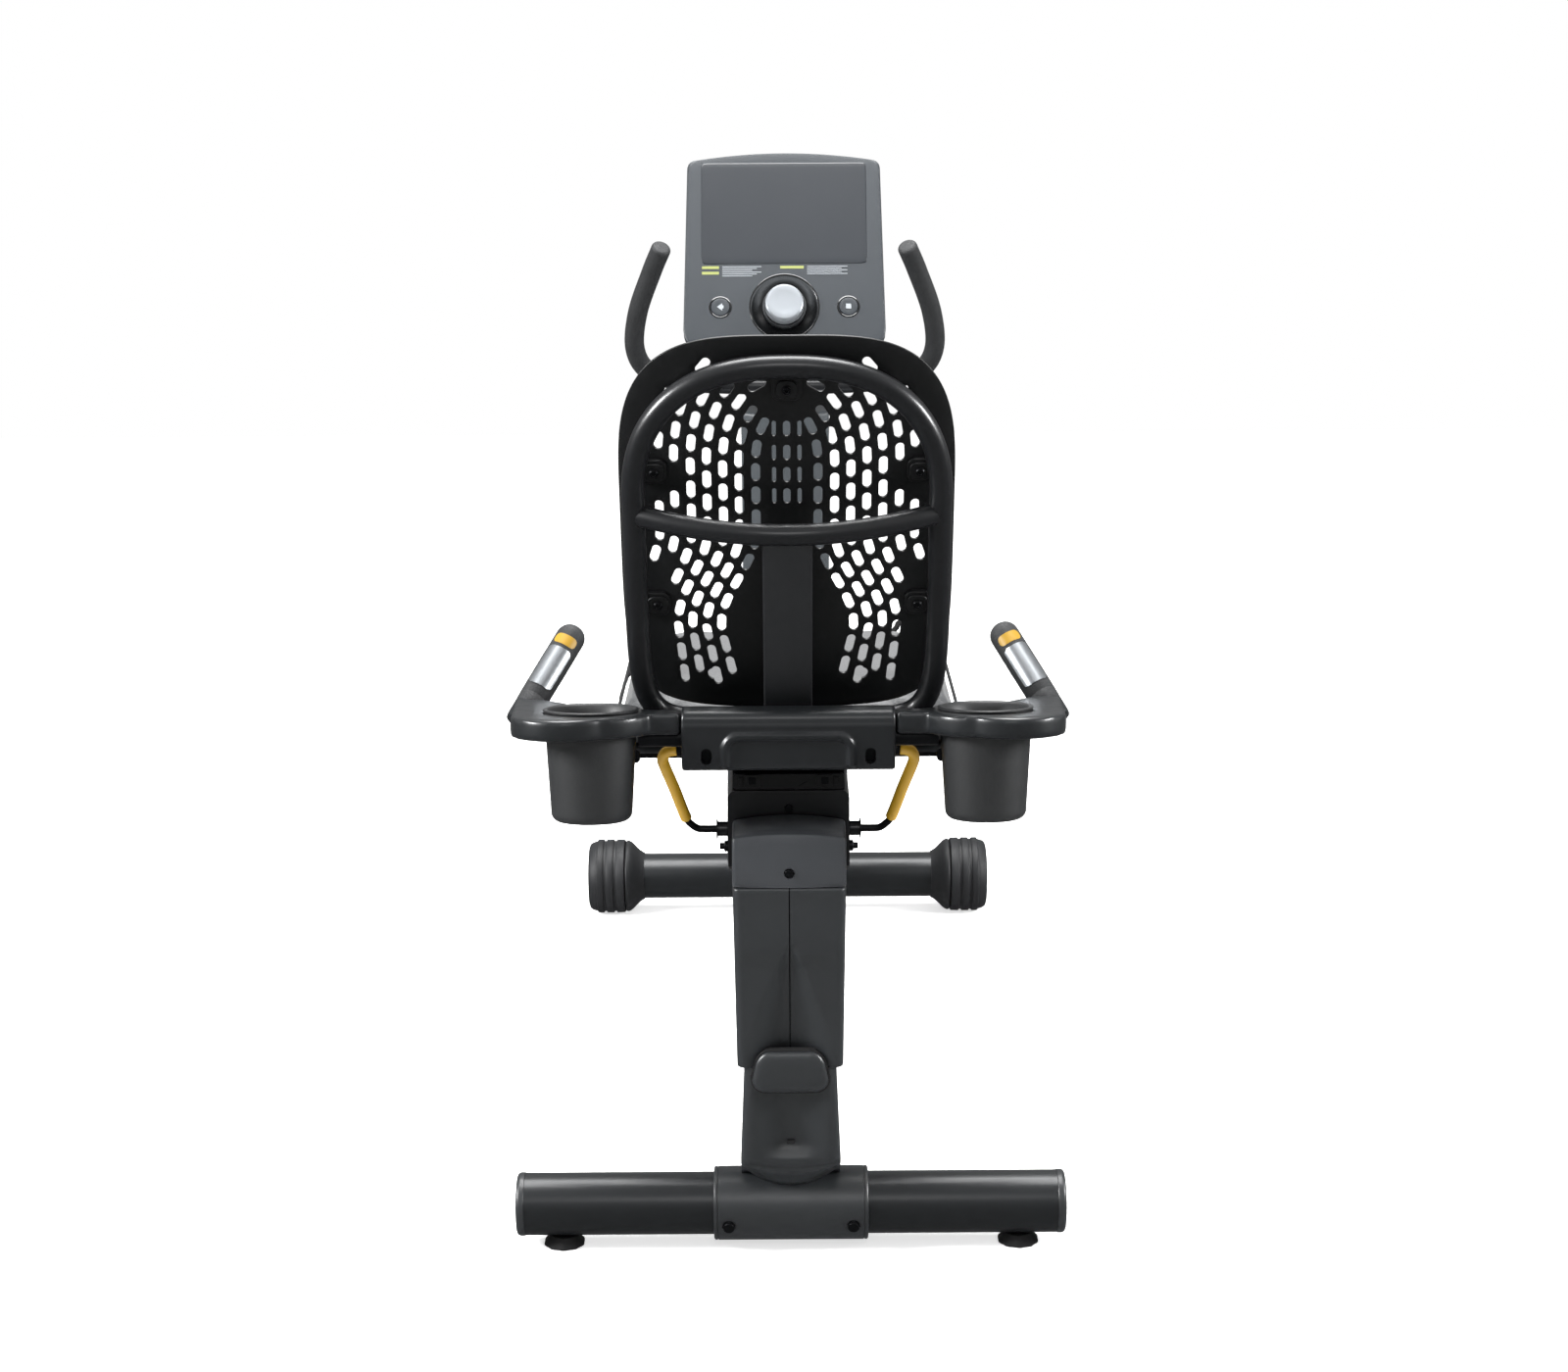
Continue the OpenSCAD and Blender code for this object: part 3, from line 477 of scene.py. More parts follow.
# %% The finishes
charcoal = satin("charcoal_paint", "#17191b", 0.40, 0.0011, 0.00003, 0.10, Metallic=0.35,
                 Coat_Weight=0.25, Coat_Roughness=0.25)
cover_plastic = satin("cover_plastic", "#1e2022", 0.37, 0.0008, 0.00004, 0.08,
                      Specular_IOR_Level=0.5)
black_plastic = satin("black_plastic", "#0a0b0c", 0.42, 0.0009, 0.00004, 0.10)
dark_paint = satin("dark_paint", "#131416", 0.36, 0.0011, 0.00003, 0.10, Metallic=0.3,
                   Coat_Weight=0.3, Coat_Roughness=0.2)
spine_paint = satin("spine_paint", "#1a1b1d", 0.45, 0.0011, 0.00003, 0.08, Metallic=0.2)
cover_paint = satin("cover_paint", "#16181a", 0.38, 0.0010, 0.00003, 0.08, Metallic=0.25,
                    Coat_Weight=0.25, Coat_Roughness=0.22)
cup_plastic = satin("cup_plastic", "#1b1c1d", 0.50, 0.0014, 0.00006, 0.08)
cap_plastic = satin("cap_plastic", "#2c2e31", 0.42, 0.0009, 0.00004, 0.06)
grey_plastic = satin("light_plastic", "#34383b", 0.42, 0.0008, 0.00004, 0.05)
console_plastic = satin("console_plastic", "#1f2327", 0.45, 0.0008, 0.00004, 0.06)
foot_rubber = satin("foot_rubber", "#151516", 0.75, 0.0010, 0.00010, 0.15)
wheel_plastic = satin("wheel_rubber", "#161719", 0.55, 0.0010, 0.00006, 0.15)
yellow_rubber = satin("lever_rubber", "#8c6c15", 0.45, 0.0008, 0.00004, 0.08)
silver_plastic = satin("knob_silver", "#7d8185", 0.38, 0.0006, 0.00002, 0.04, Metallic=0.55)
screen_black = satin("gloss_black", "#08090a", 0.20, 0.0009, 0.00001, 0.10, Coat_Weight=0.6,
                     Coat_Roughness=0.08)
pale_sign = satin("pale_print", "#7d8185", 0.45, 0.0008, 0.00001, 0.05)
tag_paint = satin("tag_print", "#6f7440", 0.45, 0.0008, 0.00001, 0.05)
nylon = satin("glide_nylon", "#d8d6cf", 0.45, 0.0010, 0.00003, 0.05)
belt_rubber = satin("belt_rubber", "#0c0c0d", 0.70, 0.0010, 0.00006, 0.10)
screw_black = satin("black_steel", "#121315", 0.33, 0.0015, 0.00001, 0.20, Metallic=0.7)
print("painted and moulded finishes ready")

# %% [markdown]
# Brushed steel has long fine scratches one way. Stretching the noise along one axis draws
# them, and they change the gloss more than the colour. Rubber grips have a fine pebble, vinyl
# has small joined hills, and the display is a dark sheet under clear glass.

# %% Steel, rubber grips, vinyl and glass
def brushed(name, code, roughness, stretch):
    """Metal with scratches drawn out along one axis, in its gloss and its relief."""
    f = Finish(name, Metallic=1.0)
    lines = f.noise(0.02, 3, stretch)
    f.feed("Base Color", f.blend(f.noise(0.05, 2), paint(code, 0.9), paint(code, 1.08)))
    f.feed("Roughness", lines * 0.22 + (roughness - 0.11))
    f.bump(lines, 0.00002)
    return f.material


bright_steel = brushed("bright_steel", "#b9bcbf", 0.30, (3, 40, 40))
rail_alloy = brushed("rail_aluminium", "#9a9da1", 0.38, (40, 1.5, 40))
iron = brushed("flywheel_iron", "#55585c", 0.45, (30, 30, 30))
plate_steel = brushed("contact_steel", "#85888b", 0.36, (12, 12, 3))

grip = Finish("grip_rubber", Specular_IOR_Level=0.35)
pebble = grip.cells(0.0016)
grip.feed("Base Color", grip.blend(grip.noise(0.03, 3), paint("#141516"), paint("#1b1c1e")))
grip.feed("Roughness", pebble * 0.25 + 0.55)
grip.bump(pebble, 0.00025)
grip_rubber = grip.material

vinyl = Finish("seat_vinyl", Sheen_Weight=0.15, Specular_IOR_Level=0.45)
hills = vinyl.cells(0.0022)
fold = vinyl.noise(0.05, 3)
vinyl.feed("Base Color", vinyl.blend(fold, paint("#1d1e20"), paint("#26282a")))
vinyl.feed("Roughness", hills * 0.2 + fold * 0.1 + 0.40)
vinyl.bump(hills + fold * 1.5, 0.00022)
seat_vinyl = vinyl.material

pane = Finish("screen_glass", Specular_IOR_Level=0.3, Coat_Weight=0.4, Coat_Roughness=0.06,
              Roughness=0.32)
pane.feed("Base Color", pane.blend(pane.noise(0.09, 2), paint("#181b1f"), paint("#1d2024")))
pane.bump(pane.noise(0.004, 1), 0.000004)
screen_glass = pane.material

BY_SLOT = {"charcoal_paint": charcoal, "cover_plastic": cover_plastic,
           "light_plastic": grey_plastic,
           "console_plastic": console_plastic, "foot_rubber": foot_rubber,
           "grip_rubber": grip_rubber,
           "lever_rubber": yellow_rubber, "black_steel": screw_black, "bright_steel": bright_steel,
           "rail_aluminium": rail_alloy, "flywheel_iron": iron, "belt_rubber": belt_rubber,
           "screen_glass": screen_glass, "knob_silver": silver_plastic, "seat_vinyl": seat_vinyl,
           "glide_nylon": nylon}
print("slots with a finish:", len(BY_SLOT))

# %% [markdown]
# Many parts are plain engineering shapes whose CAD form is already right: the rail, the frame
# beams, the cranks. What the CAD lacks is the small radius on every edge, which is what
# catches the light. A copy with its triangles merged takes a bevel, and the node is hidden.

# %% Parts whose CAD shape is right
SOFT_EDGES = {
    charcoal: {"front_frame": 1.5, "mast_tube": 1.5},
    screw_black: {"frame_screws": 0.5, "crank_axle": 0.5, "crank_left": 2.0, "crank_right": 2.0,
                  "seat_screws": 0.5, "lock_pin": 0.5, "sensor_cable": 0, "seat_pan": 1.2},
    rail_alloy: {"seat_rail": 1.0},
    iron: {"flywheel": 2.0},
    cover_plastic: {"drive_pulley": 1.5, "pedal_left": 3.0, "pedal_right": 3.0},
    nylon: {"glide_pads": 1.0},
    belt_rubber: {"drive_belt": 1.0},
    bright_steel: {"crank_bearings": 0.5},
}
for finish, parts in SOFT_EDGES.items():
    for node, radius in parts.items():
        soften(node, finish, radius)
print("softened nodes:", sum(len(parts) for parts in SOFT_EDGES.values()))

# %% [markdown]
# The back rest hangs on one tube bent into a loop, rounder at the top than at the bottom. Such
# an outline is a superellipse: x to a power plus v to a power is constant, and a higher power
# gives squarer corners. The tube leans back, so it is worked out upright and then tilted.

# %% The tube loop, the crossbar and the spine
LEAN = 18.5
BACK_FOOT = np.array([0.0, 15.0, 660.0])
LOOP_MID = 290.0


def loop_outline(half_width, up, down, power_up, power_down, count=160):
    """Points (x, v) round a superellipse: x = w cos^(2/n), v = middle + h sin^(2/n), signs kept."""
    a = (np.arange(count) + 0.5) * 2 * math.pi / count
    n = np.where(np.sin(a) >= 0, power_up, power_down)
    h = np.where(np.sin(a) >= 0, up, down)
    x = half_width * np.sign(np.cos(a)) * np.abs(np.cos(a)) ** (2 / n)
    return even(np.stack([x, LOOP_MID + h * np.sign(np.sin(a)) * np.abs(np.sin(a)) ** (2 / n)], -1),
                count)


def lean(points):
    """Points (x, n, v) of the upright back, tilted and moved to its foot."""
    return tilt_x(points, LEAN, BACK_FOOT)


loop = loop_outline(175.5, 169, 290, 2.4, 8)
loop_path = np.column_stack([loop[:, 0], 0 * loop[:, 0], loop[:, 1]])
tube_rings = circle_round(loop_path, 13.5, 32, up=FORWARD, loop=True)
points, faces = skin(tube_rings, True)
add("back_loop", (lean(points), faces), dark_paint,
    "seat", ("back_frame",))

x = np.linspace(-172, 172, 49)
bow = 1 - (x / 172) ** 2
bar_path, bar_radius = blunt(np.column_stack([x, -46 * bow, 275 - 3 * bow]), 12.5, 3)
points, faces = skin(circle_round(bar_path, bar_radius, 28, up=UP))
add("back_crossbar", (lean(points), faces), dark_paint, "seat", ("back_frame",))


def spine_rings():
    """A flat strip 57 wide down the middle: its depth falls from the bowed bar to the foot, and
    its rear face is a little crowned."""
    v = np.concatenate([np.linspace(268, 40, 32), np.linspace(30, -46, 12)])
    front = np.interp(v, [-46, -10, 268], [-4, -4, -40])
    rear = np.interp(v, [-46, -10, 268], [-15, -15, -50.5])
    side = np.concatenate([np.linspace(-28.5, 28.5, 13), np.linspace(28.5, -28.5, 13)])
    crown = np.concatenate([1.6 * (1 - (np.linspace(-1, 1, 13)) ** 2), np.zeros(13)])
    n = np.concatenate([np.repeat(rear[:, None], 13, 1), np.repeat(front[:, None], 13, 1)],
                       1) - crown
    return np.stack([np.broadcast_to(side, n.shape), n, np.broadcast_to(v[:, None], n.shape)], -1)


points, faces = skin(spine_rings())
add("back_spine", (lean(points), faces), spine_paint, "seat", ("back_frame",), bevel=2.0)
print("back: loop, crossbar and spine")

# %% [markdown]
# The shell inside the loop is one sheet, bent round an upright cylinder and pierced with slots.
# The slots follow lines that arch over in the upper half and pinch to a waist in the lower
# half. Each line is a curve, slots are set along it like bricks, and a flat triangulation with
# the slot edges as constraints makes the sheet. Thickness and rounded edges come last.

# %% Where the slots are
SHELL_RADIUS = 752.0
SHELL_FRONT = 14.5
SHELL_WIDTH, SHELL_UP, SHELL_DOWN = 193, 200, 282
TOP_POWER, FOOT_POWER = 3.1, 6
LUGS = np.array([[0, 428], [-152, 318], [152, 318], [-152, 145], [152, 145]], float)
ARCH_FOOT = 330.0


def slot_line(reach):
    """A line of slots at a distance from the middle: straight up from the waist, then a quarter
    ellipse over the top. Below 245 it drifts outward to a waist, and turns in again at 110."""
    v = np.linspace(30, ARCH_FOOT, 160)
    waist = 42 * (1 - step(v, 120, 245)) * (1 - 0.0022 * (reach - 35))
    fan = (0.22 - 0.0022 * (reach - 35)) * np.clip(112 - v, 0, None)
    low = np.stack([reach + waist - fan, v], -1)
    a = np.linspace(0, math.pi / 2, 90)[1:]
    high = np.stack([reach * np.cos(a) ** 0.8, ARCH_FOOT + (reach + 34) * np.sin(a)], -1)
    return np.vstack([low, high])


def along(line, pitch, shift):
    """Places and directions a fixed pitch apart along a line."""
    run = np.concatenate([[0], np.cumsum(np.linalg.norm(np.diff(line, axis=0), axis=1))])
    at = np.arange(shift, run[-1] - 9, pitch)
    place_at = np.stack([np.interp(at, run, line[:, k]) for k in range(2)], -1)
    ahead = np.stack([np.interp(at + 1, run, line[:, k]) for k in range(2)], -1)
    return place_at, unit(ahead - place_at)


shell_edge = loop_outline(SHELL_WIDTH, SHELL_UP, SHELL_DOWN, TOP_POWER, FOOT_POWER, 240)


def shell_room(v):
    """Half the shell's width at a height: w times (1 - |rise / reach|^n)^(1/n)."""
    rise = np.asarray(v, float) - LOOP_MID
    power = np.where(rise > 0, TOP_POWER, FOOT_POWER)
    share = np.abs(rise / np.where(rise > 0, SHELL_UP, SHELL_DOWN)) ** power
    return SHELL_WIDTH * np.clip(1 - share, 0, 1) ** (1 / power)


slots = []
for i, reach in enumerate([35.5, 54.5, 73, 91.5, 110, 129, 147]):
    spots, way = along(slot_line(reach), 29.5, 6 + 14.7 * (i % 2))
    length = np.where(spots[:, 1] < 100, 24, 22.5)
    inside = np.abs(spots[:, 0]) < shell_room(spots[:, 1]) - 17
    low_part = (spots[:, 1] < 205) & (spots[:, 0] > 140)
    rim = (spots[:, 1] > 436) & ((np.abs(spots[:, 0]) < 20) | (i % 2 == 0))
    for sign in (1, -1):
        here, heading = spots * [sign, 1], way * [sign, 1]
        near_lug = np.linalg.norm(here[:, None] - LUGS[None], axis=-1).min(1) < 25
        keep = inside & ~near_lug & ~low_part & ~rim & (spots[:, 1] > 44) & (spots[:, 1] < 470)
        slots += list(zip(here[keep], heading[keep], length[keep], np.full(keep.sum(), 5.2)))
for v in (376, 346, 318, 291):
    slots += [(np.array([x, v]), np.array([0.0, 1.0]), 19, w) for x, w in ((-14.5, 2.4), (0, 4.2),
                                                                           (14.5, 2.4))]
slots += [(np.array([x, 52.0]), np.array([0.0, 1.0]), 1, 7.0) for x in (-88, 88)]
print("slots in the shell:", len(slots))


# %% The pierced sheet
def slot_edge(centre, way, length, radius):
    """A slot's outline: two half circles about the ends of a short straight."""
    a = np.linspace(-math.pi / 2, math.pi / 2, 8)
    across = np.array([way[1], -way[0]])
    half = max(length / 2 - radius, 0.2)
    top = centre + half * way + radius * (np.cos(a)[:, None] * way - np.sin(a)[:, None] * across)
    bottom = centre - half * way - radius * (np.cos(a)[:, None] * way - np.sin(a)[:, None] * across)
    return np.vstack([top, bottom])


def distance_to_slots(points):
    """How far each point lies outside the nearest slot: distance to its straight, less radius."""
    centre = np.array([s[0] for s in slots])
    way = np.array([s[1] for s in slots])
    radius = np.array([s[3] for s in slots])
    half = np.maximum(np.array([s[2] for s in slots]) / 2 - radius, 0.2)
    away = points[:, None] - centre[None]
    t = np.clip((away * way).sum(-1), -half, half)
    return (np.linalg.norm(away - t[..., None] * way, axis=-1) - radius).min(1)


loops = [shell_edge] + [slot_edge(*s) for s in slots]
gx, gv = np.meshgrid(np.arange(-186, 187, 12.0), np.arange(14, 486, 12.0))
inner = np.stack([gx.ravel(), gv.ravel()], -1)
edge_room = np.abs(inner[:, 0]) < shell_room(inner[:, 1]) - 6
inner = inner[edge_room & (distance_to_slots(inner) > 3)]
flat = np.vstack(loops + [inner])
start = np.cumsum([0] + [len(ring) for ring in loops])
rims = [(int(s + k), int(s + (k + 1) % len(ring))) for s,
        ring in zip(start, loops) for k in range(len(ring))]
spots, _, sheet_faces, *_ = geometry.delaunay_2d_cdt([Vector(p) for p in flat.tolist()], rims, [],
                                                     1, 1e-4)
spots = np.array([tuple(p) for p in spots])
sheet_faces = np.array(sheet_faces)
middle = spots[sheet_faces].mean(1)
sheet_faces = sheet_faces[distance_to_slots(middle) > 0].tolist()
bend = SHELL_FRONT + spots[:, 0] ** 2 / (2 * SHELL_RADIUS) + 1.2
shell = add("back_sheet", (lean(np.column_stack([spots[:, 0], bend, spots[:, 1]])), sheet_faces),
            black_plastic, "seat", ("back_shell",), solid=False, sharp=50)
wall = shell.modifiers.new("wall", "SOLIDIFY")
wall.thickness = 0.0036
wall.offset = 0.0
edges = shell.modifiers.new("edges", "BEVEL")
edges.width = 0.0008
edges.segments = 2
edges.limit_method = "ANGLE"
edges.angle_limit = math.radians(50)
print("sheet faces:", len(sheet_faces))

# %% [markdown]
# Five lugs hold the shell: a plate across the corner of the loop, a half-round pad on it, and
# a socket screw. They are small, but they sit in the open middle of the view.

# %% Socket screws and lugs
def socket_screw(centre, axis, radius, height, socket=0.5):
    """A cap head: a short cylinder with a rounded rim, and a six-sided hole in its top. The hole's
    radius is its flat distance over the cosine of the angle from the nearest flat's middle."""
    rows = np.array([[0, 0.97], [height - radius * 0.2, 1.0], [height, 0.82],
                     [height, socket * 1.12],
                     [height - 0.3, socket], [height - radius * 0.55, socket * 0.96]])
    rings = lathe(np.column_stack([rows[:, 0], rows[:, 1] * radius]), centre, axis, 36)
    a = np.arange(36) * 2 * math.pi / 36
    six = math.cos(math.pi / 6) / np.cos((a % (math.pi / 3)) - math.pi / 6)
    core = np.asarray(centre) + rows[:, 0][:, None] * unit(axis)
    grow = np.ones((6, 36))
    grow[4:] = six * 1.08
    return skin(core[:, None] + (rings - core[:, None]) * grow[:, :, None])


lug_parts, lug_screws = [], []
for x, v in LUGS.tolist():
    depth = SHELL_FRONT + x * x / (2 * SHELL_RADIUS) - 1.0
    side = math.copysign(1, x)
    if x == 0:
        plate = round_box(-17, 17, v - 14, 452, 9)
    else:
        plate = round_box(min(x - side * 15, x + side * 26), max(x - side * 15, x + side * 26),
                          v - 15, v + 15, 9)
    for outline, near, far in ((plate, depth - 7, depth - 0.3),
                               (round_box(x - 12, x + 12, v - 11, v + 11, 8), depth - 9.5,
                                depth - 6)):
        points, faces = prism(outline, near, far)
        lug_parts.append((lean(points), faces))
    points, faces = socket_screw((0, 0, 0), (0, -1, 0), 5.2, 3.4)
    lug_screws.append((lean(points + [x, depth - 9.4, v]), faces))
add("back_lugs", joined(*lug_parts), black_plastic, "seat", ("back_frame",), bevel=1.0)
add("back_lug_screws", joined(*lug_screws), screw_black, "seat", ("seat_screws",))
print("lugs:", len(lug_screws))

# %% [markdown]
# The handle box is a folded sheet: flat behind, rolled along its top and bottom, with an
# arched bead pressed out of it. It is one surface swept from left to right. The bead is a
# height added to the rear face, from the signed distance to a rounded rectangle.

# %% The handle box
def arch_bead(x, z):
    """Height of the bead: a smooth bump where the distance to a rounded arch is under its half
    width. The distance to a rounded rectangle is that of its corner circle's centre, less r."""
    qx, qz = np.abs(x) - (74.0 - 17.0), z - (657.0 - 17.0)
    outside = np.hypot(np.clip(qx, 0, None), np.clip(qz, 0, None))
    away = np.abs(outside + np.minimum(np.maximum(qx, qz), 0) - 17.0)
    return 4.5 * (1 - step(away, 1.5, 7.0)) * step(z, 617, 620)


def box_rings():
    """Side profiles (y, z) from x = -125 to 125; the rear face carries the bead."""
    x = np.concatenate([[-125, -124.6, -123.6], np.linspace(-122, 122, 164), [123.6, 124.6, 125]])
    inset = np.interp(np.abs(x), [122, 123.6, 124.6, 125], [0, 0.5, 1.4, 3.0])
    rear_z = np.linspace(622, 669, 33)
    rear = np.stack([np.full(33, -62.0), rear_z], -1)
    profile = np.vstack([rear, [[-61.2, 671.5], [-60.6, 674], [-60.2, 677]],
                         [[-59.0, 680.5], [-56.5, 683.5], [-53, 685.6], [-48, 686.5]],
                         [[-30, 686.5], [-22, 684.5], [-19, 679], [-19, 640], [-19, 620],
                          [-21, 616.5],
                          [-26, 615], [-50, 615], [-55, 615], [-59, 616.6], [-61.4, 619]]])
    y = np.repeat(profile[None, :, 0], len(x), 0)
    z = np.repeat(profile[None, :, 1], len(x), 0)
    xs = np.repeat(x[:, None], len(profile), 1)
    y[:, :33] -= arch_bead(xs[:, :33], z[:, :33])
    y[:, :33] += 1.2 * (1 - step(np.abs(xs[:, :33]), 60, 72)) * (1 - step(z[:, :33], 648, 656))
    middle = np.array([-40.0, 650.0])
    y += np.sign(middle[0] - y) * inset[:, None]
    z += np.sign(middle[1] - z) * inset[:, None]
    return np.stack([xs, y, z], -1)


def obround(x, z, width, height, y0, y1):
    """A slot-shaped cutter through y0 to y1."""
    a = np.linspace(0, math.pi, 13)
    r, h = width / 2, (height - width) / 2
    ring = np.vstack([np.stack([x + r * np.cos(a), z + h + r * np.sin(a)], -1),
                      np.stack([x - r * np.cos(a), z - h - r * np.sin(a)], -1)])
    return prism(ring, y0, y1)


box_shape = carve(skin(box_rings()), *[obround(x, 633, 12.5, 19.5, -80, -50) for x in (-96, 96)])
add("handle_box_body", box_shape, cover_paint, "seat", ("handle_box",), sharp=28)
# Black plates at the bottom of the two slots: painted shade, the dark inside of the openings.
add("handle_box_slot_shade", joined(*[obround(x, 633, 12.2, 19.2, -50.6, -49.8) for x in (-96, 96)]),
    screw_black, "seat", ("handle_box",))
print("handle box faces:", len(box_shape[1]))

# %% [markdown]
# Each arm is a casting whose edges are all rounded: a ring round the cup, a bar to the box and
# a horn under the grip. The CAD has its outline. A voxel remesh and a few rounds of smoothing
# melt its edges into the soft shape of a casting, which no bevel can do where shapes meet.

# %% The arms
def cast(node, finish, voxel, rounds, name):
    """A CAD node remeshed into small cells and smoothed, so that every edge is rounded."""
    piece = merged_copy(node, name, False)
    in_cells(piece, voxel)
    soft = piece.modifiers.new("soft", "SMOOTH")
    soft.factor = 0.5
    soft.iterations = rounds
    bake_modifiers(piece)
    return dress(piece, finish, nodes[node]["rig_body"], (node,), sharp=180)


for side in ("left", "right"):
    arm = cast("arm_" + side, cover_paint, 0.0024, 26, "arm_casting_" + side)
    print(arm.name, "faces:", len(arm.data.polygons))

# %% [markdown]
# A cup holder is a turned shape: a rolled rim on the ring, walls that taper, a rounded foot.
# Its axis tips back with the ring. The grips are turned about their own slanting axis, with a
# brushed plate and a coloured band let into the side that faces the palm.

# %% Cup holders
ring_up = np.array([0, math.sin(math.radians(6.5)), math.cos(math.radians(6.5))])
a = np.linspace(0, math.pi / 2, 8)
foot_curve = np.stack([-105.6 - 11 * np.cos(a), 37 + 11 * np.sin(a)], -1)
cup_profile = np.vstack([[[-116.6, 6], [-116.6, 30]], foot_curve, [[-60, 50.6], [-20, 53.0],
                                                                   [8, 54.2], [12.6, 54.4],
                         [13.2, 55.2], [14.0, 56.2], [15.6, 56.4], [16.6, 55.4], [17.0, 53.6],
                         [16.4, 51.6],
                         [14.4, 49.6], [8, 47.4], [-18, 39], [-20, 37.4], [-108, 37.2], [-112, 35],
                         [-113.6, 30],
                         [-114, 6]]])
cup_centre = np.array([232.0, -30.0, 668.0])
both("cup_*_turned", skin(lathe(cup_profile, cup_centre, ring_up, 72)), cup_plastic, "seat",
     ("cup_*",), sharp=40)
ear = prism(round_box(175, 187, 618, 634, 5), -30, -24)
both("cup_*_ear", ear, screw_black, "seat", ("cup_*",), bevel=1.5)
print("cups and their ears")

# %% Grips, plates and bands
GRIP_FOOT = np.array([317.0, 122.0, 655.0])
grip_way = unit([-0.446, 0.593, 0.670])
a = np.linspace(0, math.pi / 2, 9)
grip_profile = np.vstack([[[-20, 6], [-20, 17.6], [0, 18.2], [9, 18.5], [10, 18.1], [11, 18.5],
                           [60, 18.7], [104, 18.5]],
                          np.stack([104 + 17 * np.sin(a), 18.5 - 15 * (1 - np.cos(a))], -1)[1:]])
both("grip_*_body", skin(lathe(grip_profile, GRIP_FOOT, grip_way, 56)), grip_rubber, "seat",
     ("grips",))
grip_side = unit(np.cross(grip_way, UP))
grip_rise = np.cross(grip_side, grip_way)


def grip_patch(low, high, first, last, thick, round_off):
    """A plate that hugs the grip between two distances and two angles, in degrees. Its angle
    span shrinks near each end by a quarter circle, which rounds its corners."""
    t = np.linspace(0, 1, 27)
    along_grip = low + (high - low) * t
    near_end = np.minimum(along_grip - low, high - along_grip)
    lost = round_off - np.sqrt(np.clip(round_off**2 - np.clip(round_off - near_end, 0, None) ** 2,
                                       0, None))
    lost = np.degrees(lost / 18.6)
    share = np.linspace(0, 1, 25)[None, :]
    angle = np.radians((first + lost)[:, None] * (1 - share) + (last - lost)[:, None] * share)
    rings = []
    for reach in (18.75 + thick, 18.3):
        r = np.full_like(angle, reach)
        rings.append((r[..., None] * (np.cos(angle)[..., None] * grip_side
                                      + np.sin(angle)[..., None] * grip_rise)
                      + along_grip[:, None, None] * grip_way + GRIP_FOOT))
    return skin(np.concatenate([rings[0], rings[1][:, ::-1]], 1))


both("contact_plate_*_outer", grip_patch(22, 80, 70, 175, 0.5, 5), plate_steel, "seat",
     ("contact_plates",), sharp=40)
both("contact_plate_*_inner", grip_patch(22, 80, 250, 355, 0.5, 5), plate_steel, "seat",
     ("contact_plates",), sharp=40)
both("grip_*_band", grip_patch(85, 99, 75, 170, 0.25, 6), yellow_rubber, "seat", ("grips",),
     sharp=40)
print("grips with plates and bands")

# %% [markdown]
# The rear foot is one steel tube with a sleeve clamped round its middle. A tube's end cap is
# turned, with a rounded rim. The sleeve has a fine groove near each end, where its edge is
# rolled, and two deep holes for its bolts.

# %% Rear tube, caps and sleeve
REAR_AXIS = np.array([0.0, 0.0, 52.0])
x = np.linspace(-328, 328, 30)
add("rear_tube", skin(circle_round(np.column_stack([x, 0 * x, 0 * x + 52]), 38.1, 72, up=UP)),
    charcoal,
    "frame", ("rear_stabiliser",))
a = np.linspace(0, math.pi / 2, 7)
cap_profile = np.vstack([[[0, 20], [0, 38.4], [0.6, 38.8], [5, 38.8]],
                         np.stack([5 + 5 * np.sin(a), 33.8 + 5 * np.cos(a)], -1)[1:],
                         [[10.2, 20], [10.0, 4]]])
both("rear_end_cap_*", skin(lathe(cap_profile, (326.8, 0, 52), SIDE, 72)), cover_plastic, "frame",
     ("rear_end_caps",))

edge = [[94.5, 38.3], [94.5, 42.5], [94.0, 44.0], [92.8, 44.9], [90.4, 45.0], [90.1, 44.2],
        [89.2, 44.2],
        [88.9, 45.0], [60, 45.0]]
sleeve_profile = np.vstack([edge, np.array(edge)[::-1] * [-1, 1]])
sleeve = skin(lathe(sleeve_profile, REAR_AXIS, SIDE, 96), True)
bolt_way = np.array([0, -math.cos(math.radians(17)), -math.sin(math.radians(17))])
bolts = [REAR_AXIS + [x, 0, 0] for x in (-76.0, 76.0)]
holes = [skin(lathe([[41.2, 1], [41.2, 8.0], [60, 8.0], [60, 1]], b, bolt_way, 32)) for b in bolts]
add("rear_sleeve_rolled", carve(sleeve, *holes), cover_plastic, "frame", ("rear_sleeve",),
    bevel=0.8)
add("rear_sleeve_bolts", joined(*[socket_screw(b + 41.3 * bolt_way, bolt_way, 6.6,
                                               3.0) for b in bolts]),
    screw_black, "frame", ("frame_screws",))

foot_profile = np.array([[0, 8], [0, 24], [1.2, 25], [3, 25], [5, 24], [11, 18.5], [13, 17],
                         [13.4, 14],
                         [13.4, 8], [15, 7], [40, 7], [40, 2]])
a = np.arange(40) * 2 * math.pi / 40
for side, x in (("left", -280.0), ("right", 280.0)):
    rings = lathe(foot_profile, (x, 0, 0), UP, 40)
    ribs = 1 + 0.03 * np.cos(a * 10)[None, :, None] * (foot_profile[:, 1] > 18)[:, None, None]
    rings = np.array([x, 0, 0]) + (rings - [x, 0, 0]) * np.concatenate([ribs, ribs, ribs * 0 + 1],
                                                                       -1)
    add("level_foot_" + side, skin(rings), foot_rubber, "foot_" + side, ("level_foot_" + side,))
print("rear foot done")

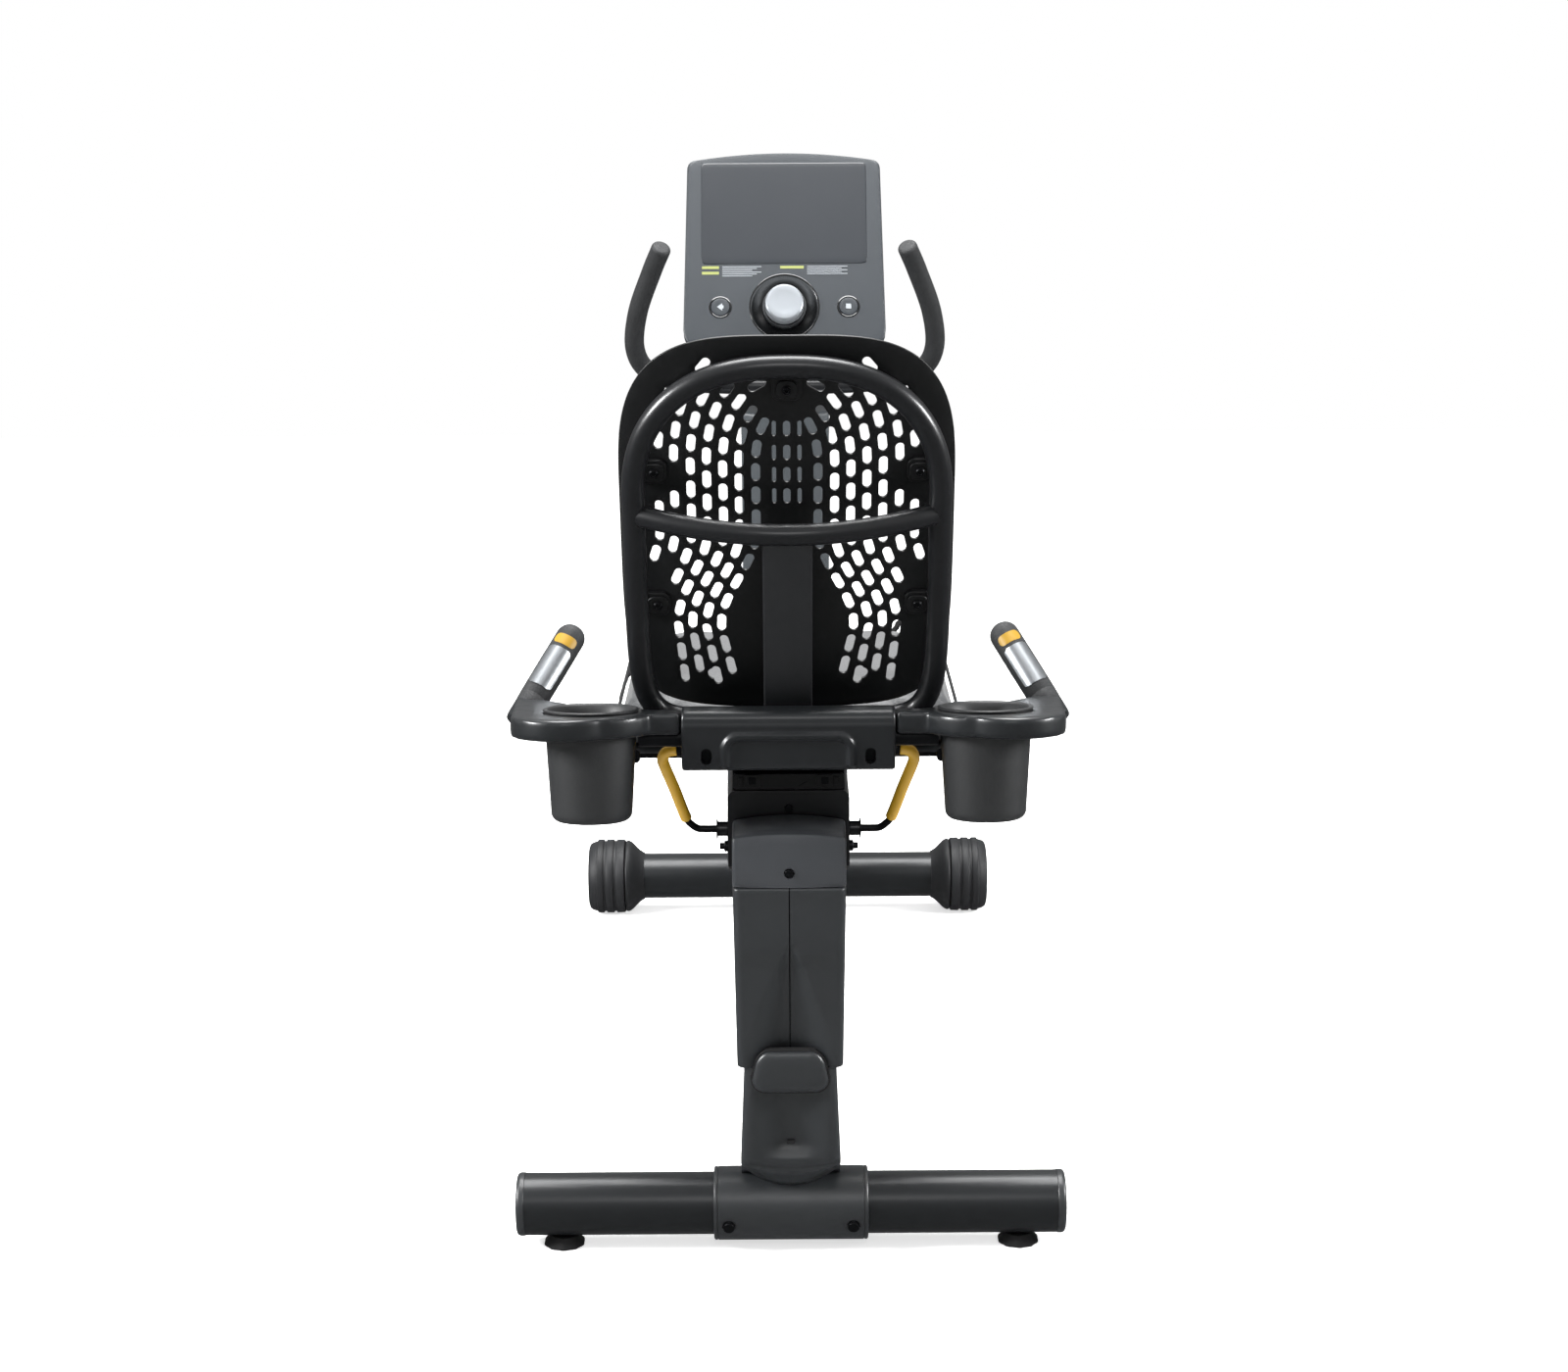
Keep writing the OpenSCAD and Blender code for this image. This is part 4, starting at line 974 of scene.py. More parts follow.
# %% [markdown]
# The post is dressed in moulded covers: a boot that spreads over the sleeve, a small tongue,
# two half shells that meet at a seam, and a cap. Each cover is an outline that changes with
# height. Hollows and ridges are heights added to its rear face by smooth steps.

# %% The boot
def rounded_rings(z, half_width, rear, front, radius, count=112):
    """For each height, a rounded rectangle in x and y, walked evenly round."""
    rings = [even(round_box(-w, w, b, f, radius), count) for w, b, f in zip(half_width, rear,
                                                                            front)]
    return np.concatenate([np.array(rings), np.repeat(np.array(z)[:, None, None], count, 1)], -1)


z = np.concatenate([np.linspace(88, 132, 23), np.linspace(134, 250, 40)])
width = np.interp(z, [88, 128, 250], [60.5, 60.5, 55.5])
rear = -np.interp(z, [88, 96, 112, 132, 165], [22, 34, 50, 60, 64])
boot = rounded_rings(z, width, rear, 58 + 0 * z, 11)
bx, by, bz = boot[..., 0], boot[..., 1].copy(), boot[..., 2].copy()
behind = by < 0
lip_line = 130 - 13 * np.sqrt(np.clip(1 - (bx / 58) ** 2, 0, 1))
lip = (1 - step(bz, lip_line - 1.5, lip_line + 1.5)) * behind
hollow = (1 - step(np.abs(bx), 8, 50)) * step(bz, 124, 152) * (1 - step(bz, 232, 250))
by += behind * (15 * hollow - 3.0 * lip)
near_sleeve = (1 - step(bz, 88, 128)) * step(-by, 0, 30)
bz += near_sleeve * (26 * (bx / 60) ** 2 - 3)
boot[..., 1], boot[..., 2] = by, bz
add("boot_moulding", skin(boot), cover_plastic, "frame", ("boot",), sharp=60)
# A small dark plate in the hollow: painted shade, standing for the dark inside of a slot in the
# boot.
add("boot_slot_shade", prism(round_box(-5, 5, 148, 152.4, 2), -50.2, -44), foot_rubber, "frame",
    ("boot",))


# %% The tongue
def pad(outline, rows):
    """An outline in x and z, stacked in y: each row (y, inset) shrinks it about its middle."""
    outline = np.asarray(outline, float)
    middle = (outline.max(0) + outline.min(0)) / 2
    half = (outline.max(0) - outline.min(0)) / 2
    rings = []
    for y, inset in rows:
        p = middle + (outline - middle) * (half - inset) / half
        rings.append(np.column_stack([p[:, 0], np.full(len(p), y), p[:, 1]]))
    return skin(rings)


def narrowed(outline):
    """The tongue's outline: a rounded rectangle, a little narrower low down and more so on top."""
    share = np.interp(outline[:, 1], [220, 240, 272], [0.97, 1.0, 0.80])
    return np.column_stack([outline[:, 0] * share, outline[:, 1]])


tongue = even(narrowed(round_box(-46, 46, 220.5, 271.5, 15)), 96)
add("boot_tongue", pad(tongue, [(-60, 0.6), (-66.6, 0), (-68.6, 0.6), (-70.2, 2.4), (-71.4, 5.5),
                                (-72.4, 10),
                                (-72.9, 17), (-73.1, 23)]), cover_plastic, "frame", ("boot",),
                                sharp=60)
print("boot and tongue")


# %% The two half shells
def half_shell(z):
    """Right half of the post's cover at heights z: rear face, rounded corner, side, front, seam.
    Below 392 the rear face sinks into a hollow that is a triangle, widening downward."""
    side = np.interp(z, [250, 474], [63.6, 67.2])
    rear_x = np.linspace(0.7, 1, 26)
    s = side - 9
    x = [0.7 + (s[:, None] - 0.7) * (rear_x - 0.7) / 0.3]
    y = [np.full((len(z), 26), -66.0)]
    a = np.linspace(0, math.pi / 2, 8)[None, 1:]
    x += [s[:, None] + 9 * np.sin(a), np.repeat(side[:, None], 2, 1)]
    y += [-57 - 9 * np.cos(a) + 0 * s[:, None], np.full((len(z), 2), 1.0) * [[-20, 40]]]
    x += [s[:, None] + 9 * np.cos(a), 0.7 + (s[:, None] - 0.7) * np.array([[0.6, 0.3, 0]])]
    y += [69 + 9 * np.sin(a) + 0 * s[:, None], np.full((len(z), 3), 78.0)]
    x, y = np.concatenate(x, 1), np.concatenate(y, 1)
    zz = np.repeat(z[:, None], x.shape[1], 1)
    reach = np.interp(z, [262, 300, 396], [58, 50, 10])[:, None]
    depth = np.interp(z, [262, 392, 404], [17.5, 5, 0])[:, None]
    sink = depth * (1 - step(x, 0.15 * reach, reach))
    crown = (4.5 - 0.5 * np.clip(x / 60, 0,
                                 1) ** 2) * step(zz, 372, 398) * (1 - 0.7 * step(zz, 402, 462))
    y += (y < -60) * (sink - crown)
    zz = zz - 17 * step(zz, 380, 474) * step(y, 0, 14)
    return np.stack([x, y, zz], -1)


z = np.concatenate([[250, 250.4, 251.5], np.linspace(253, 471, 60), [472.4, 473.4, 473.8]])
rings = half_shell(z)
inset = np.interp(z, [250, 250.4, 251.5, 253, 471, 472.4, 473.4, 473.8], [3, 1.4, 0.4, 0, 0, 0.3,
                                                                          1.0, 2.2])
rings[..., 0] -= (rings[..., 0] > 8) * inset[:, None]
rings[..., 1] += np.where(rings[..., 1] < 0, 1, -1) * inset[:, None]
both("rear_shell_*_moulding", skin(rings), cover_plastic, "frame", ("rear_shell_*",), sharp=60)
# A dark sheet a little larger than the tongue, set behind it: painted shade, a dark outline round
# the tongue where the gap falls in shadow.
tongue_shade_outline = narrowed(even(round_box(-48, 48, 219, 273.4, 16), 96))
add("boot_tongue_painted_shade", pad(tongue_shade_outline, [(-56, 0), (-66.3, 0)]), foot_rubber, "frame", ("boot",))
drawn = nodes["rear_post"].data
verts, same = np.unique(np.round([v.co[:] for v in drawn.vertices], 6), axis=0, return_inverse=True)
post = ((verts - REAR) * 1000, [same.ravel()[list(f.vertices)].tolist() for f in drawn.polygons])
post = carve(post, prism([[-40, 50], [40, 50], [40, 99], [-40, 99]], -60, -17),
             prism([[-41, 49], [41, 49], [41, 120], [-41, 120]], -60, -33))
add("rear_post_tube", post, charcoal, "frame", ("rear_post",), bevel=0.8)
# A dark strip inside the seam between the half shells: painted shade, for the shadow deep in the
# gap.
add("post_seam_shade", prism([[-1, 251], [1, 251], [1, 473], [-1, 473]], -40, -30), foot_rubber, "frame",
    ("rear_post",))
print("shells and boot done")


# %% The cap of the post
def cap_rings():
    """Side profiles from x = -67 to 67. Towards the sides the top sinks by 6 times the square of
    x over 67, and the rear face falls back from a ridge down its middle."""
    x = np.concatenate([[-67.4, -67.2, -66.2], np.linspace(-64.5, 64.5, 61), [66.2, 67.2, 67.4]])
    share = np.abs(x) / 67
    profile = np.array([[-66, 475.4], [-66.4, 474.6], [-65, 474.4], [9, 474.4], [9, 500], [9, 530],
                        [9, 541], [7, 544],
                        [3, 545], [-20, 543.4], [-44, 541], [-54, 539.6], [-58.4, 537.4],
                        [-60.4, 533.6], [-61.6, 524],
                        [-64.0, 508], [-66, 496], [-66, 486]])
    y = np.repeat(profile[None, :, 0], len(x), 0)
    z = np.repeat(profile[None, :, 1], len(x), 0)
    z -= 6.5 * (share[:, None] ** 2) * (z > 508)
    y += 5.5 * share[:, None] ** 1.5 * (y < -40)
    inset = np.interp(np.abs(x), [64.5, 66.2, 67.2, 67.4], [0, 0.7, 2.0, 4.0])[:, None]
    y += np.sign(-28 - y) * inset
    z += np.sign(508 - z) * inset
    return np.stack([np.repeat(x[:, None], len(profile), 1), y, z], -1)


screw_hole = skin(lathe([[50, 1], [50, 6.2], [80, 6.2], [80, 1]], (0, 0, 492), -FORWARD, 28))
cap_inside = prism(round_box(-58, 58, 470, 526, 4), -54, 20)
add("rear_cap_moulding", carve(skin(cap_rings()), screw_hole, cap_inside), cap_plastic, "frame",
    ("rear_cap",),
    sharp=22)
cap_screw = socket_screw((0, -60, 492), -FORWARD, 4.6, 3.0)
backing = prism(round_box(-9, 9, 483, 501, 3), -59.8, -56)
add("rear_cap_screw", joined(cap_screw, backing), screw_black, "frame", ("frame_screws",))
print("cap done")

# %% [markdown]
# The seat runs on the rail in a bracket bent from plate. Seen from behind it is an arch round
# the cap. The slider above it carries two sprung clips, and the lever's shaft comes out
# through a bush, a washer and a nut on each side.

# %% Carriage bracket, bushes, clips
soften("carriage_bracket", dark_paint, 1.6)
add("bracket_screw", socket_screw((0, 14, 551), -FORWARD, 5.2, 2.8), screw_black, "seat",
    ("seat_screws",))
rail_slider = prism(round_box(-66, 66, 574, 594, 4), 10.5, 18)
add("slider_plate", rail_slider, black_plastic, "seat", ("seat_pan",), bevel=1.2)
clip = joined(prism(round_box(33, 53, 578, 593, 2), 8.6, 10.6), prism(round_box(54.5, 60, 580, 590,
                                                                                1), 9.0, 10.6))
add("slider_clips", mirrored(clip), black_plastic, "seat", ("seat_pan",), bevel=0.6)
add("slider_clip_eyes", mirrored(prism(round_box(39, 48, 581, 590, 1), 7.9, 8.8)), screw_black,
    "seat",
    ("seat_pan",), bevel=0.4)


LEVER_SHAFT = (0, 70, 510)


def turned_bush(name, profile, z=LEVER_SHAFT[2], sides=48, bevel=0.4):
    """A turned part on the shaft's line, or at another height, on both sides."""
    shape = mirrored(skin(lathe(profile, (0, LEVER_SHAFT[1], z), SIDE, sides)))
    add(name, shape, screw_black, "seat", ("carriage_bracket",), bevel=bevel)


turned_bush("lever_bushes", [[73, 5], [73, 9], [76, 9], [76, 5]], bevel=0.5)
turned_bush("lever_nuts", [[76, 5], [76, 8.6], [76.8, 9.4], [84, 9.4], [85, 8.6], [85, 5]], sides=6)
turned_bush("lever_washers", [[86.4, 5], [86.4, 12.4], [88.2, 12.4], [88.2, 5]])
turned_bush("bracket_lower_bolts", [[72, 3], [72, 7], [78, 7], [79, 6], [79, 4.2], [84, 4.2],
                                    [84.6, 3]], 488, 12)


# %% Release levers
def lever_tube(path, radius, nose, sides):
    """A tube along the lever's line, blunt at both ends."""
    return skin(circle_round(*blunt(path, radius, nose), sides, up=FORWARD))


lever_line = np.array([[88, 70, 510], [104, 70, 510], [111, 69.5, 511], [118, 68, 516],
                       [125, 65, 526], [138, 47, 567],
                       [149.4, 31, 601], [150.4, 26, 610], [147, 22, 617.5], [140, 20, 621],
                       [128, 19, 622]], float)
bent = curve(lever_line, 10)
rod = lever_tube(bent, 4.5, 1.0, 20)
shaft = skin(lathe([[-90, 1], [-90, 4.5], [90, 4.5], [90, 1]], LEVER_SHAFT, SIDE, 24))
add("release_lever_rods", joined(mirrored(rod), shaft), screw_black, "levers", ("release_levers",))
run = np.concatenate([[0], np.cumsum(np.linalg.norm(np.diff(bent, axis=0), axis=1))])
first = int(np.searchsorted(run, run[40] - 4))
both("lever_sleeve_*", lever_tube(bent[first:-4], 7.0, 1.8, 24), yellow_rubber, "levers",
     ("lever_grips",))
both("lever_end_ring_*", lever_tube(bent[-5:], 7.8, 0.8, 24), screw_black, "levers",
     ("release_levers",))
print("levers, bushes and clips")

# %% [markdown]
# The console is a slab with a soft edge that leans away. Its outline is narrower at the foot,
# with an arched top. The glass is a separate sheet let into the face, and the dial sits in a
# shallow bowl. The controls carry only plain marks.

# %% Console body
CONSOLE_LEAN = -25
CONSOLE_FOOT = np.array([0, 1060.0, 997.0])
DIAL = (0, 0, 65)
KEY_X = 98.0


def console_add(name, shape, finish, stands_for, body="frame", **settings):
    """A piece of the console: points (x, y, v) of the upright slab, leaning away at its foot."""
    points, faces = shape
    add(name, (tilt_x(points, CONSOLE_LEAN, CONSOLE_FOOT), faces), finish, body, (stands_for,),
        **settings)


def turned(profile, sides, x=0, loop=False):
    """A round control, turned about an axis square to the face, at the dial's height."""
    return skin(lathe(profile, (x, DIAL[1], DIAL[2]), FORWARD, sides), loop)


def console_outline(count=220):
    """The front outline (x, v): straight sides, small lower corners, large upper ones, an arch."""
    x = np.linspace(-1, 1, 31)
    top = np.stack([135 * x[::-1], 317 - 11 * x[::-1] ** 2], -1)
    left = np.stack([-135 - 14 * np.sin(np.linspace(0, math.pi / 2, 8)),
                     292 + 14 * np.cos(np.linspace(0, math.pi / 2, 8))], -1)
    foot = np.array([[-154.5, 30], [-153, 16], [-147, 7], [-136, 1.6], [-124, 0]])
    side = np.vstack([top, left[1:], foot])
    right = side[31:][::-1] * [-1, 1]
    return even(np.vstack([side, right]), count)


outline = console_outline()
front = pad(outline, [(14.2, 6), (14.0, 2.0), (12.5, 0.4), (10, 0), (3.0, 0), (1.2, 0.7),
                      (0.2, 2.2), (0, 4.0),
                      (0.0, 12)])
bowl = turned([[-4, 1], [-4, 54], [0.5, 54], [2, 53], [9, 50], [9, 1]], 72)
wells = [turned([[-4, 1], [-4, 15], [10.8, 15], [10.8, 1]], 48, x) for x in (-KEY_X, KEY_X)]
console_add("console_front", carve(front, bowl, *wells), console_plastic, "console_face", sharp=24)
back = pad(outline, [(14.3, 3), (16, 2.5), (30, 4), (36, 12), (46, 30), (51, 46), (52, 60)])
console_add("console_rear", back, cover_plastic, "console_back", sharp=60)
neck = prism(round_box(-38, 38, 957, 1003, 8), 1092, 1146)
add("console_neck", neck, cover_plastic, "frame", ("console_back",), bevel=4)
glass = pad(even(round_box(-127, 127, 135.2, 299.8, 5), 120),
            [(2.0, 0), (-0.5, 0), (-0.9, 0.5), (-1.0, 1.4), (-1.0, 9)])
console_add("console_glass", glass, screen_glass, "display_glass", sharp=60)
dish = turned([[12, 1], [12, 53.2], [-0.8, 53.6], [-1.2, 52.8], [-1.0, 51.6], [2, 49], [5.5, 43],
               [7.6, 37], [8.6, 30], [9, 1]], 96)
console_add("dial_dish", dish, screen_black, "console_face", sharp=50)
ring = turned([[6, 1], [6, 33], [-2, 33.6], [-3, 33], [-3, 31], [3, 30.4], [3, 1]], 72)
console_add("dial_collar", ring, cover_plastic, "dial_ring", "dial_ring", sharp=30)
knob, knob_faces = turned([[-3.4, 4], [-3.4, 29.2], [-5, 30], [-18, 29.4], [-21.6, 28.6],
                           [-23.2, 26.6], [-23.4, 24], [-22.9, 18], [-22.6, 10], [-22.5, 2]], 96)
off_axis = knob[:, [0, 2]] - DIAL[::2]
angle = np.arctan2(off_axis[:, 1], off_axis[:, 0])
outer = np.linalg.norm(off_axis, axis=1) > 28.8
flutes = 1 - 0.010 * (1 + np.cos(48 * angle)) / 2 * outer
knob[:, [0, 2]] = DIAL[::2] + off_axis * flutes[:, None]
console_add("dial_knob_turned", (knob, knob_faces), silver_plastic, "dial_knob", "dial_knob",
            sharp=30)
button_profile = [[8, 2], [8, 14.2], [-0.6, 14.4], [-1.6, 13.8], [-2.0, 12], [-1.5, 6], [-1.4, 1]]
rim_profile = [[0.6, 15], [-0.7, 15.2], [-1.0, 16], [-0.6, 17.4], [0.6, 17.6]]
for side, x in (("left", -KEY_X), ("right", KEY_X)):
    button = "button_" + side
    console_add(button + "_cap", turned(button_profile, 48, x), console_plastic, button, button,
                sharp=40)
    console_add(button + "_rim", turned(rim_profile, 48, x, True), screen_black, "console_face")
print("console with", len(outline), "outline points")


# %% Plain marks
square = round_box(94, 102, 61, 69, 1)
chevron = np.array([[-103, 65], [-95, 71], [-95, 67.4], [-93, 67.4], [-93, 62.6], [-95, 62.6],
                    [-95, 59]])
for side, sign_shape in (("left", chevron), ("right", square)):
    button = "button_" + side
    console_add(button + "_sign", prism(sign_shape, -2.25, -1.2), pale_sign, button, button)
tags = [(-126, 127, 26), (-126, 118, 26), (-6, 127, 36)]
lines = [(-95, 130 - 3 * k, 60 - 7 * (k % 3)) for k in range(6)]
lines += [(35, 130 - 3 * k, 62 - 9 * (k % 2)) for k in range(5)]
for name, strips, tall, radius, finish in (("console_tags", tags, 4.4, 0.6, tag_paint),
                                           ("console_lines", lines, 0.9, 0.4, pale_sign)):
    plates = [prism(round_box(x, x + w, v, v + tall, radius), -0.3, 0.5) for x, v, w in strips]
    console_add(name, joined(*plates), finish, "console_face")

# %% [markdown]
# The front bars are one tube bent in three directions. A smooth path through eight points
# gives its line, and a rubber sleeve covers the horn on each side. The mast cover and the crown
# of the drive cover are the lighter grey. Both show only from the side.

# %% Handlebar, grips, mast cover
MAST_LEAN = 7.9
MAST_FOOT = np.array([0, 1187.0, 500.0])
CRANK_Y, CRANK_Z, CRANK_ARM = 1080, 430, 170
horn = np.array([[0, 1086, 935], [75, 1082, 936], [160, 1062, 944], [207, 1035, 965],
                 [225, 1000, 1003],
                 [218, 962, 1060], [195, 925, 1122], [180, 900, 1156]], float)
half = curve(horn, 10)
whole = np.vstack([half[:0:-1] * [-1, 1, 1], half])
path, radius = blunt(whole, 12.5, 2)
add("front_bar", skin(circle_round(path, radius, 32, up=UP + 0.001 * FORWARD)), dark_paint, "frame",
    ("front_handlebar",))
clamp = prism(round_box(-26, 26, 920, 950, 8), 1072, 1138)
add("front_bar_clamp", clamp, cover_plastic, "frame", ("front_handlebar",), bevel=4)
end_way = unit(half[-1] - half[-2])
path, radius = blunt(np.vstack([half[27:], half[-1] + 6 * end_way]), 14.6, 5.5)
both("front_grip_*", skin(circle_round(path, radius, 32, up=UP + 0.001 * FORWARD)), grip_rubber,
     "frame", ("front_grips",))


def mast_rings():
    """The mast cover's eight-sided outline, rounded, carried up and a little narrower above."""
    outline = even(np.array([[-68, -32], [-40, -46], [0, -52], [40, -46], [68, -32], [68, 26],
                             [44, 42],
                             [-44, 42], [-68, 26]], float), 120)
    outline = (np.roll(outline, 1, 0) + outline + np.roll(outline, -1, 0)) / 3
    w = np.concatenate([np.linspace(-40, 396, 40), [400, 402, 402.6]])
    scale = np.interp(w, [-40, 396, 400, 402, 402.6], [1, 1, 0.985, 0.95, 0.88])
    return np.concatenate([outline[None] * scale[:, None, None], np.repeat(w[:, None, None], 120,
                                                                           1)], -1)


points, faces = skin(mast_rings())
add("mast_cover_moulding", (tilt_x(points, MAST_LEAN, MAST_FOOT), faces), grey_plastic, "frame",
    ("mast_cover",), sharp=40)


# %% Drive housing
def hull_outline(circles, inset, count=260):
    """The outline round three circles: for each direction, the farthest reach of any of them."""
    a = np.arange(720) * 2 * math.pi / 720
    way = np.stack([np.cos(a), np.sin(a)], -1)
    centre = np.array([c[:2] for c in circles], float)
    reach = centre @ way.T + np.array([c[2] for c in circles])[:, None]
    best = reach.argmax(0)
    points = centre[best] + (np.array([c[2] for c in circles])[best] - inset)[:, None] * way
    return even(points, count)


CIRCLES = [(1080, 385, 200), (1245, 290, 112), (835, 292, 58)]


def housing_shell(first, last):
    """The housing as outlines stacked from one side to the other, with rounded shoulders."""
    turn = np.linspace(0, math.pi / 2, 7)
    x = np.concatenate([[first], first + 14 * (1 - np.cos(turn)) + 0.01,
                        last - 14 * (1 - np.cos(turn[::-1])) - 0.01,
                        [last]])
    inset = np.concatenate([[60], 14 * (1 - np.sin(turn)), 14 * (1 - np.sin(turn[::-1])), [60]])
    rings = []
    for here, less in zip(x, inset):
        o = hull_outline(CIRCLES, less)
        rings.append(np.column_stack([np.full(len(o), here), o]))
    return skin(rings)


whole_housing = housing_shell(-90.0, 90.0)


def region(x0, x1, z0, z1):
    """A block that takes away one region of the housing, all along it."""
    return prism([[x0, z0], [x1, z0], [x1, z1], [x0, z1]], 500, 1700)


upper, lower = region(-200, 200, 500.8, 900), region(-200, 200, 0, 500)
add("housing_crown", carve(whole_housing, lower), grey_plastic, "frame", ("housing_top",), sharp=30)
body = carve(whole_housing, upper)
add("housing_side_right", carve(body, region(-300, 0.2, 0, 900)),
    cover_plastic, "frame", ("housing_right",), sharp=30)
add("housing_side_left", carve(body, region(300, -0.2, 0, 900)),
    cover_plastic, "frame", ("housing_left",), sharp=30)
both("housing_*_boss", skin(lathe([[80, 27], [80, 68], [92, 67.5], [130, 53], [134, 49], [135, 44],
                                   [134.6, 27]],
                                   (0, CRANK_Y, CRANK_Z), SIDE, 72)), cover_plastic, "frame",
                                   ("housing_*",), sharp=40)
print("handlebar, mast cover and housing")

# %% [markdown]
# The front foot carries bell-shaped covers and two wheels. The wheels have two grooves for
# their tyres, and a cap with a small step. Each is a turned profile.

# %% Front foot and wheels
FRONT_AXIS = (0, 1400, 62.5)
front_tube = lathe([[-275, 30], [-275, 37.2], [-274.2, 38], [274.2, 38], [275, 37.2], [275, 30]],
                   FRONT_AXIS, SIDE, 96)
add("front_foot_tube", skin(front_tube), charcoal, "frame", ("front_stabiliser",))
bell = np.array([[244, 34], [244, 39.6], [247, 41], [252, 44.5], [258, 50], [262, 54.5], [266, 58],
                 [270, 60.2], [273, 60.6],
                 [275, 59.6], [275, 34]])
both("wheel_bell_*", skin(lathe(bell, FRONT_AXIS, SIDE, 84), True), wheel_plastic, "frame",
     ("wheel_covers",), sharp=30)
wheel_rows = np.array([[276.5, 12], [276.5, 60], [278, 62], [290, 62.5], [291, 62], [291.6, 60],
                       [295.4, 60], [296, 62],
                       [297, 62.5], [307, 62.5], [308, 62], [308.6, 60], [312.4, 60], [313, 62],
                       [314, 62.5], [322, 62.5],
                       [323.4, 61.6], [323.8, 59.6], [326, 59.2], [333, 57], [336.6, 54],
                       [338.2, 49], [338.4, 40],
                       [337.0, 38.6], [336.8, 12]])
for side, sign in (("left", -1), ("right", 1)):
    rows = wheel_rows * [sign, 1]
    add("transport_wheel_" + side, skin(lathe(rows, FRONT_AXIS, SIDE, 96)), wheel_plastic,
        "wheel_" + side,
        ("wheel_" + side,), sharp=30)
print("wheels")

# %% [markdown]
# The pedal straps are ribbed rubber belts bent over the foot: one arch given a thin, grooved
# section. The seat cushion is a crowned pad with a welt, and its foam pushes the cover out.

# %% Pedal straps
def strap(x_sign, y, z):
    """An arch from the pedal's inner edge to its outer edge: half an ellipse 94 wide and 101
    high. The section is 40 wide and 4 thick, with a groove at every twelfth of the arch."""
    t = np.linspace(0, math.pi, 121)
    x = 208 + 47 * np.cos(t)
    rise = 14.2 + 101 * np.sin(t)
    out = np.stack([np.cos(t), 0 * t, np.sin(t) * 0.6], -1)
    thick = 2.0 + 0.5 * np.cos(40 * t)
    section = np.array([[-1, -20], [1, -20], [1.0, -14], [1.0, 14], [1, 20], [-1, 20]], float)
    core = np.stack([x, 0 * t, rise], -1)
    depth = section[None, :, :1] * thick[:, None, None] * unit(out)[:, None]
    rings = core[:, None] + depth + section[None, :, 1:] * FORWARD
    points, faces = skin(rings)
    return points * [x_sign, 1, 1] + [0, y, z], faces


add("strap_right_belt", strap(1, CRANK_Y + CRANK_ARM, CRANK_Z), belt_rubber, "pedal_right",
    ("strap_right",), bevel=0.6)
add("strap_left_belt", strap(-1, CRANK_Y - CRANK_ARM, CRANK_Z), belt_rubber, "pedal_left",
    ("strap_left",), bevel=0.6)


# %% The cushion
def cushion_start():
    """A slab 414 by 440 with corners of 45, as stacked outlines that pull in at top and bottom."""
    outline = even(round_box(-205, 205, 84, 520, 46), 200)
    rows = [(610.2, 8), (611.5, 3), (615, 0.5), (622, 0), (640, 0), (652, 1.5), (659, 5),
            (663.5, 12), (665.5, 22),
            (666.2, 40), (666.6, 80), (666.8, 130)]
    middle = np.array([0.0, 302.0])
    half = np.array([205.0, 218.0])
    rings = [np.column_stack([middle + (outline - middle) * (half - inset) / half,
                              np.full(len(outline), z)])
             for z, inset in rows]
    return skin(rings)


cushion = add("seat_cushion_pad", cushion_start(), seat_vinyl, "seat", ("seat_cushion",), sharp=180)
in_cells(cushion, 0.006)
bake_modifiers(cushion)
rest = np.empty(len(cushion.data.vertices) * 3)
cushion.data.vertices.foreach_get("co", rest)
rest = rest.reshape(-1, 3)
pins = cushion.vertex_groups.new(name="base")
held = np.where(rest[:, 2] < 0.618)[0].tolist()
pins.add(held, 1.0, "REPLACE")
cloth = cushion.modifiers.new("cloth", "CLOTH")
cloth.settings.use_pressure = True
cloth.settings.uniform_pressure_force = 2.5
cloth.settings.effector_weights.gravity = 0
cloth.settings.vertex_group_mass = "base"
for step_number in range(1, 16):
    bpy.context.scene.frame_set(step_number)
swollen = cushion.evaluated_get(bpy.context.evaluated_depsgraph_get()).to_mesh()
moved = np.empty(len(rest) * 3)
swollen.vertices.foreach_get("co", moved)
moved = moved.reshape(-1, 3) - rest
size = np.linalg.norm(moved, axis=1, keepdims=True)
moved *= np.minimum(1, 0.006 / np.maximum(size, 1e-9))
cushion.modifiers.clear()
cushion.data.vertices.foreach_set("co", (rest + moved).ravel())
bpy.context.scene.frame_set(1)
dress(cushion, seat_vinyl, "seat", ("seat_cushion",), sharp=180)
outline = even(round_box(-206.5, 206.5, 82.5, 521.5, 46), 220)
welt = np.column_stack([outline, np.full(220, 655.0)])
welt_rings = circle_round(welt, 2.2, 10, up=UP, loop=True)
add("seat_cushion_welt", skin(welt_rings, True), black_plastic, "seat", ("seat_cushion",))
print("cushion faces:", len(cushion.data.polygons))

# %% [markdown]
# Any CAD node that no new piece stands for is shown as it is, in its own finish.

# %% The nodes that stay
kept = 0
for name, node in nodes.items():
    if not node.hide_render:
        node.data.materials.clear()
        node.data.materials.append(BY_SLOT[SLOTS[name]])
        kept += 1
print("nodes shown as they are:", kept, "new pieces:", len(made))

# %% [markdown]
# A white studio. The surround is white to the camera, but it lights the machine less from low
# down than from above, so the dark covers keep their depth. The floor glows a little and stays
# out of reflections. Soft lights stand left, right, overhead and, weakly, behind the camera.

